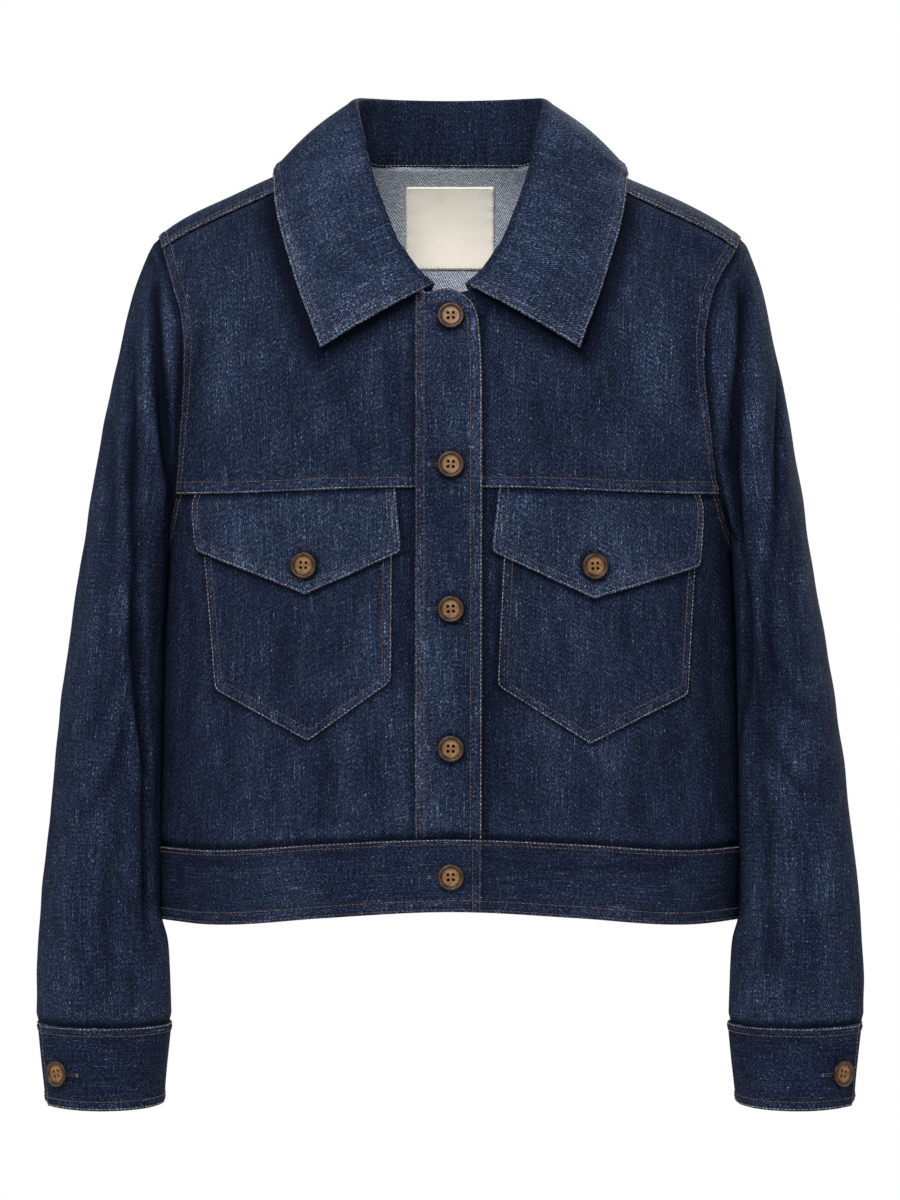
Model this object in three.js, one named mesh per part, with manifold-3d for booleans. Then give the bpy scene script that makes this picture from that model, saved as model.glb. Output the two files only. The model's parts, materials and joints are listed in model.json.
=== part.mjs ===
// A cropped denim jacket that stands hollow and upright, as on a wearer, with no wearer in it.
// Millimetres. +Z is up and the jacket faces -Y, so the wearer's right side is at -X.
// The origin is the centre of the neck opening, 13 mm below the inner ends of the shoulders.

import * as THREE from "three";
import { mergeVertices } from "three/addons/utils/BufferGeometryUtils.js";
import Module from "manifold-3d";

const wasm = await Module();
wasm.setup();

const DEGREE = Math.PI / 180;
const QUARTER = Math.PI / 2;

// Cloth
const SEAM_GAP = 0.3; // between pieces that are sewn edge to edge
const SLANT_GAP = 0.2; // half of it at the shoulder seam, measured down the slanting cloth
const LAYER_GAP = 0.6; // between pieces that lie on each other
const BAND_GAP = 0.8; // between the placket or a flap and what it lies on
const SINGLE = 1.4; // wall of one layer
const DOUBLE = 2.2; // wall of the placket, bands, cuffs and collar
const FLAP_WALL = 1.8;
const LABEL_WALL = 1;

// Body: upright sections that close to a sloping shoulder line
const RIDGE_Y = 5; // plane of the shoulder ridge and of the side seams
const SQUARENESS = 2.5; // exponent of the sections, where 2 is an ellipse
const SHOULDER_SPAN = 235; // half width of the sections that the shoulders close
const SHOULDER_ROUND = 95; // height over which front and back turn up to the ridge
// The shoulder line's height at each distance from the centre
const SHOULDER = [
  { x: 0, z: 27 },
  { x: 35, z: 23.5 },
  { x: 70, z: 12.8 },
  { x: 131.6, z: -15.3 },
  { x: 177, z: -36.3 },
  { x: 193, z: -45.3 },
  { x: 204, z: -54 },
  { x: 235, z: -84 },
];

const BODY = [
  { z: 35, halfWidth: 235, front: 72, back: 83 },
  { z: -50, halfWidth: 235, front: 74.5, back: 92 },
  { z: -92, halfWidth: 235, front: 80.5, back: 96 },
  { z: -125, halfWidth: 232, front: 88.5, back: 98 },
  { z: -160, halfWidth: 220, front: 97.5, back: 98 },
  { z: -200, halfWidth: 209.5, front: 105, back: 97 },
  { z: -232, halfWidth: 201.5, front: 108.5, back: 96 },
  { z: -268, halfWidth: 197, front: 109, back: 95 },
  { z: -340, halfWidth: 200, front: 107, back: 92 },
  { z: -410, halfWidth: 201.5, front: 105, back: 91 },
  { z: -480, halfWidth: 203, front: 104, back: 93 },
  { z: -540, halfWidth: 201, front: 103, back: 94 },
];

// Neck opening
const NECK_HALF = 70;
const NECK_DROP = 105.8; // front neck below the shoulder's inner end
const NECK_BACK_Z = -3;
const NECK_BACK_FALL = 45; // turns over which the back's neckline falls to that height
// Turns round half the neckline, from the front centre to the back's, at which the pieces
// share points: along the front yoke, up its shoulder part, over the shoulder and round the back
const NECK_TURNS = {
  front: [27, 39, 51],
  rise: [62, 73, 84.5],
  over: [90, 96, 104, 112],
  back: [130, 147, 163, 180],
};
const RISE_TURN = 51;
const FORWARD_TURN = 84.5; // the forward shoulder seam meets the neckline here
const BACK_TURN = 112;

// Armholes: an oval in side view, with its seam's distance from the centre at each height
const ARMHOLE_Z = -161;
const ARMHOLE_HALF = 107;
const ARMHOLE = [
  { z: -54, right: 204, left: 204 },
  { z: -64, right: 201, left: 200 },
  { z: -78, right: 197, left: 191.5 },
  { z: -91, right: 193.5, left: 185.5 },
  { z: -107, right: 189, left: 181.5 },
  { z: -125, right: 187, left: 179 },
  { z: -150, right: 187.5, left: 179 },
  { z: -185, right: 189, left: 182 },
  { z: -225, right: 191, left: 186 },
  { z: -250, right: 194, left: 191.5 },
  { z: -268, right: 197, left: 197 },
];
// Turns round the armhole, from its top to the underarm, at which the pieces share points
const TURNS = [0, 11, 22.5, 42, 62, 82, 98, 110, 122, 133, 149, 165, 180];
const FORWARD_NODE = 2; // the forward shoulder seam ends here
const RISE_NODE = 5; // the shoulder part of the yoke's grid ends here
const YOKE_NODE = 9; // the front yoke seam ends here
const SHOULDER_COLUMNS = 5;
const SIDE_ROWS = 6; // below the underarm

// Front seams; the yoke's falls away from the first distance from the centre to the second
const YOKE_SEAM = { z: -229.5, levelTo: 20, fallTo: 190 };
const STAND_EDGE = -16; // the left front runs under the placket to here
const RIGHT_FRONT_EDGE = -20; // the right front ends under the placket here
const PLACKET = { right: -24.5, left: 22.4, cornerDrop: 52 };
// The placket's top edge, where its free corner falls away
const PLACKET_TOP = [
  { x: -24.5, z: -91.5 },
  { x: -13.5, z: -92.6 },
  { x: -6, z: -90.6 },
  { x: 1, z: -90.3 },
  { x: 9, z: -94 },
];

// Waistband, from the centre (across 0) to the sides (across 1)
const WAIST = [
  { across: -0.45, seam: -479, hem: -531 },
  { across: 0, seam: -475.5, hem: -526.5 },
  { across: 0.45, seam: -479, hem: -531 },
  { across: 0.7, seam: -482.5, hem: -535 },
  { across: 0.85, seam: -483, hem: -535.3 },
  { across: 1, seam: -480.5, hem: -532 },
];
const WAIST_Z = -480; // about the height of its seam
const WAIST_DOWN = 400; // about its distance down the cloth
const BAND_PROUD = 0.4; // how far the waistband's middle stands out from the body's
const LAP_LIFT = DOUBLE + 0.4; // how far a lapping end is lifted off the one below
const LAP_RAMP = { start: -60, end: -28 };

// Sleeves: rings from the armhole to the cuff seam
const SLEEVE_TOP = -54;
const SLEEVE_END = -603;
const UNDERARM_Z = ARMHOLE_Z - ARMHOLE_HALF;
const INNER_EASE = 1.8; // how the rings turn level as they go down
const SEAM_FADE = 0.3; // the armhole's shape has died away this far down
const SLEEVE_OFF = { top: 0.7, underarm: 1.9 }; // its seam's distance beyond the armhole's
const OUTER_EDGE = [
  { z: -54, right: 204, left: 204 },
  { z: -66, right: 212, left: 209.5 },
  { z: -87, right: 220.5, left: 217 },
  { z: -130, right: 231, left: 227 },
  { z: -214, right: 247, left: 243 },
  { z: -298, right: 261, left: 256 },
  { z: -382, right: 273, left: 270 },
  { z: -466, right: 281.4, left: 281 },
  { z: -550, right: 288.4, left: 288.5 },
  { z: -603, right: 289.8, left: 289.8 },
];
const INNER_EDGE = [
  { z: -268, x: 198.9 },
  { z: -285, x: 200.8 },
  { z: -320, x: 203 },
  { z: -400, x: 204.3 },
  { z: -470, x: 206 },
  { z: -532, x: 205.5 },
  { z: -560, x: 198.5 },
  { z: -603, x: 196 },
];
const SLEEVE = [
  { down: 0, centreY: 5, depth: 62, tilt: 0 },
  { down: 0.12, centreY: 4, depth: 66, tilt: 0 },
  { down: 0.3, centreY: 3, depth: 71, tilt: 0 },
  { down: 0.45, centreY: 1, depth: 70, tilt: 0 },
  { down: 0.6, centreY: -2, depth: 64, tilt: 1 },
  { down: 0.75, centreY: -5, depth: 57, tilt: 2 },
  { down: 0.9, centreY: -8, depth: 49, tilt: 4 },
  { down: 1, centreY: -10, depth: 44.5, tilt: 5 },
];
const SLEEVE_RINGS = 12;
const RING_CROWDING = 1.15; // above 1, rings lie closer together near the armhole
// The long fold down the front of each sleeve
const SLEEVE_FOLDS = {
  right: { turn: 110, halfWidth: 15, depth: 5, from: 0.12, to: 0.95 },
  left: { turn: 133, halfWidth: 18, depth: 5, from: 0.1, to: 0.9 },
};

// Cuffs
const CUFF_TOP = { outer: 289, inner: 196, z: -603 - SEAM_GAP, depth: 44.5, tilt: 5, centreY: -10 };
const CUFF_HEM = { outer: 282.6, inner: 201.6, z: -659.5, depth: 38.5, tilt: 7, centreY: -12 };
const CUFF_LAP = { edge: 25, ramp: 110, full: 72, under: 70 }; // turns in degrees
const CUFF_STEPS = 18; // round the cuff between the two sides of its lap
const LAP_STEPS = 4;
const CUFF_BUTTON_TURN = 46;
const CUFF_BUTTON_DOWN = 0.57;

// Collar, from its front end to the centre back by turns round the neckline: its fold, its
// outer edge and how far its fall bows out
const COLLAR = [
  { turn: 10.7, foldX: 12.5, foldY: -80.5, foldZ: -87, edgeX: 91, edgeY: -89.5, edgeZ: -131.5, bow: 2 },
  { turn: 21, foldX: 24, foldY: -80, foldZ: -75, edgeX: 98, edgeY: -82.5, edgeZ: -112, bow: 2.5 },
  { turn: 37, foldX: 36, foldY: -72, foldZ: -56, edgeX: 105, edgeY: -75.5, edgeZ: -94, bow: 3.5 },
  { turn: 52, foldX: 45, foldY: -62, foldZ: -35, edgeX: 111, edgeY: -68, edgeZ: -75, bow: 4.5 },
  { turn: 68, foldX: 54, foldY: -46, foldZ: -10, edgeX: 119, edgeY: -49, edgeZ: -46, bow: 5 },
  { turn: 82, foldX: 61, foldY: -26, foldZ: 18, edgeX: 123, edgeY: -27, edgeZ: -21.5, bow: 5 },
  { turn: 96, foldX: 67, foldY: 2, foldZ: 38.5, edgeX: 124, edgeY: -2, edgeZ: -7.5, bow: 4 },
  { turn: 112, foldX: 66.5, foldY: 22, foldZ: 42.5, edgeX: 117, edgeY: 28, edgeZ: -6.5, bow: 4 },
  { turn: 130, foldX: 57, foldY: 43, foldZ: 42.5, edgeX: 98, edgeY: 58, edgeZ: -11, bow: 4 },
  { turn: 150, foldX: 36, foldY: 62, foldZ: 41.5, edgeX: 63, edgeY: 83, edgeZ: -13, bow: 4 },
  { turn: 180, foldX: 0, foldY: 72, foldZ: 41, edgeX: 0, edgeY: 96, edgeZ: -14, bow: 4 },
  { turn: 210, foldX: -36, foldY: 62, foldZ: 41.5, edgeX: -63, edgeY: 83, edgeZ: -13, bow: 4 },
];
const COLLAR_FRONT_TURNS = [10.7, 18]; // its first stations, on the placket's ends
const COLLAR_LIFT = { front: 1.2, back: 1.7 }; // seam's clearance above the neckline
// The fold begins below and inside its line, and ends after and outside it
const FOLD = { below: 3.4, inside: 1.3, after: 5.5, outside: 1.1, pull: 4.5 };
const FOLD_SHARES = [0.35, 0.65, 1];
const FALL_SHARES = [0.25, 0.5, 0.75, 1];
// The fall's middle stays this far above the body's, seen at places this close together over
// the shoulders: shares round the side, and lengths down the cloth from the ridge
const FALL_CLEARANCE = 3.2;
const UNDER_FALL = { sides: 0.5, sideStep: 0.01, ahead: -150, behind: 90, step: 3 };

// Pockets and flaps, in the front view, by their corners
const POCKETS = {
  right: {
    top: { outer: -173.5, inner: -40, z: -248 },
    foot: { outer: [-164, -371], point: [-99.5, -407], inner: [-41, -365] },
  },
  left: {
    top: { outer: 172.5, inner: 38.5, z: -250 },
    foot: { outer: [166, -374.5], point: [98, -409], inner: [33, -368] },
  },
};
const FLAPS = {
  right: {
    top: { outer: [-179, -232.6], inner: [-38, -231.2] },
    foot: { outer: [-175, -274], point: [-100.5, -304], inner: [-34, -274] },
    button: [-101, -283.5],
  },
  left: {
    top: { outer: [175, -236.2], inner: [34, -232.2] },
    foot: { outer: [172.5, -285], point: [100, -307], inner: [29, -274] },
    button: [100, -284],
  },
};
const FLAP_RISE = 14; // height over which a flap climbs from its seam onto the pocket

// Neck label, on the inside of the back
const LABEL = { halfWidth: 31, top: -18, foot: -76, gap: 2.8 };

// Buttons
const BUTTON_RADIUS = 9.5;
const BUTTON_SIDES = 16;
const BUTTON_PROFILE = [
  { radius: 0, height: 0 },
  { radius: 8.3, height: 0 },
  { radius: 9.5, height: 1.3 },
  { radius: 8.9, height: 3.1 },
  { radius: 7.6, height: 3.4 },
  { radius: 6.2, height: 2.2 },
  { radius: 0, height: 2 },
];
const BUTTON_HOLE = { radius: 0.85, spread: 1.85, sides: 6 };
const BUTTON_SEAT = 0.5;
const FRONT_BUTTONS = [-110, -213.5, -314, -412, -502];
const FRONT_BUTTON_X = 0.5;

const CLOTH = { color: 0x27324a, roughness: 0.92, metalness: 0 };
const LABEL_CLOTH = { color: 0xe2dacd, roughness: 0.85, metalness: 0 };
const HORN = { color: 0x80654b, roughness: 0.35, metalness: 0.1 };

// Smooth value of one column of a table, at a place along its first column.
function smooth(table, along, at, key) {
  const last = table.length - 1;
  const rising = table[last][along] > table[0][along] ? 1 : -1;
  if ((at - table[0][along]) * rising <= 0) return table[0][key];
  if ((at - table[last][along]) * rising >= 0) return table[last][key];
  const i = table.findIndex((row) => (row[along] - at) * rising > 0) - 1;
  const slope = (k) => {
    const before = table[Math.max(k - 1, 0)];
    const after = table[Math.min(k + 1, last)];
    return (after[key] - before[key]) / (after[along] - before[along]);
  };
  const step = table[i + 1][along] - table[i][along];
  const t = (at - table[i][along]) / step;
  const ease = t * t * (3 - 2 * t);
  const leave = t * (1 - t) * (1 - t) * step * slope(i);
  const arrive = t * t * (t - 1) * step * slope(i + 1);
  return table[i][key] * (1 - ease) + table[i + 1][key] * ease + leave + arrive;
}

const lerp = THREE.MathUtils.lerp;
const clamp = THREE.MathUtils.clamp;
const eased = (t) => THREE.MathUtils.smoothstep(t, 0, 1);

const shoulderZ = (across) => smooth(SHOULDER, "x", SHOULDER_SPAN * Math.abs(across), "z");

const acrossOf = (s) => Math.sign(s) * Math.pow(Math.sin(Math.abs(s) * QUARTER), 2 / SQUARENESS);

// The body's skin: s runs across from the right side (-1) to the left (1), and w down along
// the cloth from the shoulder ridge, below zero on the front and above it on the back.
function skin(s, w) {
  const across = Math.abs(acrossOf(s));
  const reach = Math.pow(Math.max(Math.cos(s * QUARTER), 0), 2 / SQUARENESS);
  const turned = Math.min(Math.abs(w) / SHOULDER_ROUND, QUARTER);
  const straight = Math.abs(w) - turned * SHOULDER_ROUND;
  const z = shoulderZ(across) - SHOULDER_ROUND * (1 - Math.cos(turned)) - straight;
  const depth = smooth(BODY, "z", z, w < 0 ? "front" : "back");
  const x = Math.sign(s) * smooth(BODY, "z", z, "halfWidth") * across;
  return new THREE.Vector3(x, RIDGE_Y + Math.sign(w) * depth * reach * Math.sin(turned), z);
}

// The place on the skin, front (face -1) or back (face 1), at a point of the front view.
function place(x, z, face) {
  const across = Math.min(Math.abs(x) / smooth(BODY, "z", z, "halfWidth"), 1);
  const s = (Math.sign(x) * Math.asin(Math.pow(across, SQUARENESS / 2))) / QUARTER;
  const drop = Math.max(shoulderZ(across) - z, 0);
  const rounded = SHOULDER_ROUND * Math.acos(Math.max(1 - drop / SHOULDER_ROUND, 0));
  return [s, face * (rounded + Math.max(drop - SHOULDER_ROUND, 0))];
}

// A point of the skin moved out by a distance, with the skin's outward normal.
function onSkin([s, w], out = 0) {
  const small = 1e-4;
  const acrossStep = skin(Math.min(s + small, 1), w).sub(skin(Math.max(s - small, -1), w));
  const downStep = skin(s, w + 0.01).sub(skin(s, w - 0.01));
  const normal = acrossStep.cross(downStep).normalize();
  return { at: skin(s, w).addScaledVector(normal, out), normal };
}

// Points spaced evenly along a curve on the skin, where curve(t) is a place for t from 0 to 1.
function evenly(curve, count) {
  const samples = 160;
  const lengths = [0];
  for (let k = 1; k <= samples; k++) {
    const before = skin(...curve((k - 1) / samples));
    lengths.push(lengths[k - 1] + before.distanceTo(skin(...curve(k / samples))));
  }
  return Array.from({ length: count + 1 }, (_, i) => {
    const target = (lengths[samples] * i) / count;
    const beyond = lengths.findIndex((length) => length >= target);
    const k = beyond < 0 ? samples : Math.max(beyond, 1);
    const part = (target - lengths[k - 1]) / (lengths[k] - lengths[k - 1]);
    return curve(Math.min((k - 1 + part) / samples, 1));
  });
}

// A grid of places on the skin from its four edges; top and bottom run across, left and
// right run down, and the edges share their corners.
function fill(top, bottom, left, right) {
  const fractions = (one, other) => {
    const along = (edge) => {
      const sums = [0];
      edge.slice(1).forEach((p, k) => {
        sums.push(sums[k] + skin(...edge[k]).distanceTo(skin(...p)));
      });
      return sums.map((sum) => sum / sums[sums.length - 1]);
    };
    const a = along(one);
    const b = along(other);
    return a.map((value, k) => (value + b[k]) / 2);
  };
  const us = fractions(top, bottom);
  const vs = fractions(left, right);
  const m = left.length - 1;
  const n = top.length - 1;
  return vs.map((v, j) =>
    us.map((u, i) =>
      [0, 1].map((c) => {
        const rows = lerp(top[i][c], bottom[i][c], v);
        const columns = lerp(left[j][c], right[j][c], u);
        const corners = lerp(lerp(left[0][c], right[0][c], u), lerp(left[m][c], bottom[n][c], u), v);
        return rows + columns - corners;
      }),
    ),
  );
}

// Grids of places as grids of points with normals.
const lifted = (grids) => grids.map((grid) => grid.map((row) => row.map((p) => onSkin(p))));

// A closed wall of cloth over grids of points with normals, which join where they share
// points; a ring's columns join up too.
function wall(grids, thickness, ring = false) {
  const points = [];
  const known = new Map();
  const vertexOf = (point) => {
    const key = point.at.toArray().map((value) => value.toFixed(3)).join();
    if (!known.has(key)) known.set(key, points.push(point) - 1);
    return known.get(key);
  };
  const cells = grids.flatMap((grid) => {
    const vertices = grid.map((row) => row.map(vertexOf));
    const columns = vertices[0].length;
    return vertices.slice(1).flatMap((row, j) =>
      row.slice(ring ? 0 : 1).map((_, i) => {
        const next = (i + 1) % columns;
        return [vertices[j][i], row[i], row[next], vertices[j][next]];
      }),
    );
  });
  const position = [thickness / 2, -thickness / 2].flatMap((offset) =>
    points.flatMap(({ at, normal }) => at.clone().addScaledVector(normal, offset).toArray()),
  );
  const index = [];
  const quad = (a, b, c, d) => index.push(a, b, c, a, c, d);
  const inner = points.length;
  const sides = new Set();
  for (const [a, b, c, d] of cells) {
    quad(a, b, c, d);
    quad(inner + a, inner + d, inner + c, inner + b);
    for (const side of [[a, b], [b, c], [c, d], [d, a]]) sides.add(side.join());
  }
  for (const side of sides) {
    const [a, b] = side.split(",").map(Number);
    if (!sides.has([b, a].join())) quad(b, a, inner + a, inner + b);
  }
  return closedGeometry(position, index);
}

// A geometry from closed faces, turned so that they point out.
function closedGeometry(position, index) {
  const corner = (i) => new THREE.Vector3().fromArray(position, 3 * index[i]);
  let volume = 0;
  for (let i = 0; i < index.length; i += 3)
    volume += corner(i).dot(corner(i + 1).cross(corner(i + 2)));
  if (volume < 0)
    for (let i = 0; i < index.length; i += 3)
      [index[i + 1], index[i + 2]] = [index[i + 2], index[i + 1]];
  const geometry = new THREE.BufferGeometry();
  geometry.setAttribute("position", new THREE.Float32BufferAttribute(position, 3));
  geometry.setIndex(index);
  geometry.computeVertexNormals();
  return geometry;
}

// Normals of a grid of points from its neighbours, facing the way of the first cross product.
function withNormals(points, ring = false) {
  const rows = points.length;
  const columns = points[0].length;
  const beside = (i) => (ring ? (i + columns) % columns : clamp(i, 0, columns - 1));
  return points.map((row, j) =>
    row.map((at, i) => {
      const across = row[beside(i + 1)].clone().sub(row[beside(i - 1)]);
      const above = points[Math.max(j - 1, 0)][i];
      const down = points[Math.min(j + 1, rows - 1)][i].clone().sub(above);
      return { at: at.clone(), normal: across.cross(down).normalize() };
    }),
  );
}

const jacket = new THREE.Group();
jacket.name = "denim_jacket";

function add(name, geometry, finish) {
  const mesh = new THREE.Mesh(geometry, new THREE.MeshStandardMaterial(finish));
  mesh.name = name;
  jacket.add(mesh);
  return mesh;
}

// Edges that the body's pieces share
const SIDES = { right: -1, left: 1 };

const armholeZ = (turn) => ARMHOLE_Z + ARMHOLE_HALF * Math.cos(turn * DEGREE);

function armhole(side, turn, face) {
  const z = armholeZ(turn);
  return place(SIDES[side] * smooth(ARMHOLE, "z", z, side), z, face);
}

// The neckline, from the front centre (turn 0) over the shoulder (90 degrees) to the back's.
function neckline(turn) {
  const angle = turn * DEGREE;
  const x = NECK_HALF * Math.sin(angle);
  const innerEnd = shoulderZ(NECK_HALF / SHOULDER_SPAN);
  if (turn > 90) return place(x, lerp(innerEnd, NECK_BACK_Z, eased((turn - 90) / NECK_BACK_FALL)), 1);
  return place(x, innerEnd - NECK_DROP * Math.cos(angle), -1);
}

const mirrored = ([s, w], side) => [s * SIDES[side], w];

const waistZ = (s, key) => smooth(WAIST, "across", Math.abs(acrossOf(s)), key);

// A place at the side, half a seam's gap from the ridge plane.
function sideEdge(side, z, face) {
  const depth = smooth(BODY, "z", z, face < 0 ? "front" : "back");
  const short = Math.pow(SEAM_GAP / 2 / depth, SQUARENESS / 2) / QUARTER;
  const [, w] = place(SIDES[side] * SHOULDER_SPAN, z, face);
  return [SIDES[side] * (1 - short), w];
}

// The edge of a front or back below the underarm.
function sideSeam(side, face) {
  const foot = waistZ(1, "seam") + SEAM_GAP / 2;
  return Array.from({ length: SIDE_ROWS }, (_, k) =>
    sideEdge(side, lerp(UNDERARM_Z, foot, (k + 1) / SIDE_ROWS), face),
  );
}

function yokeZ(x) {
  const t = (Math.abs(x) - YOKE_SEAM.levelTo) / (YOKE_SEAM.fallTo - YOKE_SEAM.levelTo);
  return lerp(YOKE_SEAM.z, armholeZ(TURNS[YOKE_NODE]), eased(t));
}

// The yoke seam from the front edge to the armhole; lift is the half gap to either side.
function yokeSeam(side, edge, lift, count) {
  const end = armhole(side, TURNS[YOKE_NODE], -1);
  const endX = skin(...end).x;
  const across = Array.from({ length: count + 1 }, (_, i) => lerp(edge, endX, i / count));
  return across.map((x, i) => {
    const [s, w] = i < count ? place(x, yokeZ(x), -1) : end;
    return [s, w + lift];
  });
}

const neckPlaces = (side, turns) => turns.map((turn) => mirrored(neckline(turn), side));

const armPlaces = (side, first, last, face) =>
  TURNS.slice(first, last + 1).map((turn) => armhole(side, turn, face));

// A row of places between two, spaced evenly.
const between = (a, b, count) => evenly((t) => [lerp(a[0], b[0], t), lerp(a[1], b[1], t)], count);

// The front yoke: its shoulder part, then the part down to the yoke seam.
function frontYoke(side, edge) {
  const neck = neckPlaces(side, [RISE_TURN, ...NECK_TURNS.rise]).reverse();
  const arm = armPlaces(side, FORWARD_NODE, RISE_NODE, -1);
  for (const corner of [neck, arm]) corner[0] = [corner[0][0], corner[0][1] - SLANT_GAP];
  const seam = between(neck[0], arm[0], SHOULDER_COLUMNS);
  const middle = between(neck[neck.length - 1], arm[arm.length - 1], SHOULDER_COLUMNS);
  const start = Math.asin((edge * SIDES[side]) / NECK_HALF) / DEGREE;
  const ahead = [0, ...COLLAR_FRONT_TURNS].filter((turn) => turn > start);
  const top = [...neckPlaces(side, [start, ...ahead, ...NECK_TURNS.front]).slice(0, -1), ...middle];
  const bottom = yokeSeam(side, edge, SEAM_GAP / 2, top.length - 1);
  const outer = armPlaces(side, RISE_NODE, YOKE_NODE, -1);
  outer[outer.length - 1] = bottom[bottom.length - 1];
  const topZ = skin(...top[0]).z;
  const rows = outer.length - 1;
  const inside = outer.map((_, j) => place(edge, lerp(topZ, yokeZ(edge), j / rows), -1));
  [inside[0], inside[rows]] = [top[0], bottom[0]];
  return [fill(seam, middle, neck, arm), fill(top, bottom, inside, outer)];
}

function lowerFront(side, edge) {
  const columns = 14;
  const top = yokeSeam(side, edge, -SEAM_GAP / 2, columns);
  const arm = armPlaces(side, YOKE_NODE, TURNS.length - 1, -1);
  arm[0] = top[columns];
  arm[arm.length - 1] = sideEdge(side, UNDERARM_Z, -1);
  const outer = [...arm, ...sideSeam(side, -1)];
  const edgeFoot = place(edge, waistZ(place(edge, WAIST_Z, -1)[0], "seam") + SEAM_GAP / 2, -1);
  const foot = outer[outer.length - 1];
  const bottom = evenly((t) => {
    const s = lerp(edgeFoot[0], foot[0], t);
    const z = waistZ(s, "seam") + SEAM_GAP / 2;
    return [s, place(acrossOf(s) * smooth(BODY, "z", z, "halfWidth"), z, -1)[1]];
  }, columns);
  const rows = outer.length - 1;
  const fractions = outer.map((p) => skin(...p).z);
  const inside = outer.map((_, j) => {
    if (j === 0) return top[0];
    if (j === rows) return bottom[0];
    const t = (fractions[j] - fractions[0]) / (fractions[rows] - fractions[0]);
    return place(edge, lerp(yokeZ(edge), skin(...bottom[0]).z, t), -1);
  });
  return [fill(top, bottom, inside, outer)];
}

// The back: a part over each shoulder, then the part below them.
function back() {
  const shoulder = (side) => {
    const neck = neckPlaces(side, [FORWARD_TURN, ...NECK_TURNS.over]);
    const ahead = armPlaces(side, 1, FORWARD_NODE, -1).reverse();
    const arm = [...ahead, ...armPlaces(side, 0, FORWARD_NODE, 1)];
    for (const corner of [neck, arm]) corner[0] = [corner[0][0], corner[0][1] + SLANT_GAP];
    const seam = between(neck[0], arm[0], SHOULDER_COLUMNS);
    const foot = between(neck[neck.length - 1], arm[arm.length - 1], SHOULDER_COLUMNS);
    return { grid: fill(seam, foot, neck, arm), foot };
  };
  const parts = { right: shoulder("right"), left: shoulder("left") };
  const [right, left] = ["right", "left"].map((side) => [
    ...parts[side].foot.slice().reverse(),
    ...neckPlaces(side, NECK_TURNS.back),
  ]);
  const top = [...right, ...left.slice(0, -1).reverse()];
  const edge = (side) => {
    const arm = armPlaces(side, FORWARD_NODE, TURNS.length - 1, 1);
    arm[arm.length - 1] = sideEdge(side, UNDERARM_Z, 1);
    return [...arm, ...sideSeam(side, 1)];
  };
  const edges = { right: edge("right"), left: edge("left") };
  const last = edges.right.length - 1;
  const limits = [edges.right[last], edges.left[last]];
  const bottom = evenly((t) => {
    const s = lerp(limits[0][0], limits[1][0], t);
    const z = waistZ(s, "seam") + SEAM_GAP / 2;
    return [s, place(acrossOf(s) * smooth(BODY, "z", z, "halfWidth"), z, 1)[1]];
  }, top.length - 1);
  const turned = parts.right.grid.map((row) => row.slice().reverse());
  return [turned, parts.left.grid, fill(top, bottom, edges.right, edges.left)];
}

// A strip along the body between two heights; stations are places round the body.
function strip(stations, rows, out) {
  return Array.from({ length: rows + 1 }, (_, j) =>
    stations.map(({ s, face, lift }) => {
      const z = lerp(waistZ(s, "seam") - SEAM_GAP / 2, waistZ(s, "hem"), j / rows);
      return onSkin(place(acrossOf(s) * smooth(BODY, "z", z, "halfWidth"), z, face), out + lift);
    }),
  );
}

function waistband() {
  const frontSteps = 10;
  const backSteps = 22;
  const lapLift = (s) => {
    const x = skin(s, -WAIST_DOWN).x;
    return LAP_LIFT * eased((x - LAP_RAMP.start) / (LAP_RAMP.end - LAP_RAMP.start));
  };
  const sAt = (x) => place(x, WAIST_Z, -1)[0];
  const run = (from, to, steps, face) =>
    evenly((t) => [lerp(from, to, t), face * WAIST_DOWN], steps).map(([s]) => ({ s, face, lift: 0 }));
  const under = run(sAt(STAND_EDGE), 1, frontSteps, -1);
  const rear = run(1, -1, backSteps, 1).slice(1, -1);
  const over = run(-1, sAt(PLACKET.left), frontSteps + 2, -1);
  over.forEach((station) => {
    station.lift = lapLift(station.s);
  });
  return strip([...under, ...rear, ...over], 2, BAND_PROUD);
}

// The placket, on top of both fronts, with its free top corner rounded off.
function placket() {
  const rows = 15;
  const crowding = 1.5; // rows lie closer together near the rounded corner
  const columns = PLACKET_TOP.length - 1;
  const out = (SINGLE + DOUBLE) / 2 + BAND_GAP;
  const corner = PLACKET_TOP[columns];
  return Array.from({ length: rows + 1 }, (_, j) => {
    const v = Math.pow(j / rows, crowding);
    return PLACKET_TOP.map((top, i) => {
      const footX = lerp(PLACKET.right, PLACKET.left, i / columns);
      const footZ = waistZ(place(footX, WAIST_Z, -1)[0], "seam") + SEAM_GAP / 2;
      const z = lerp(top.z, footZ, v);
      const fallen = clamp((corner.z - z) / PLACKET.cornerDrop, 0, 1);
      const opened = Math.sqrt(1 - Math.pow(1 - fallen, 3));
      return onSkin(place(lerp(top.x, footX, opened), z, -1), out);
    });
  });
}

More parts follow.
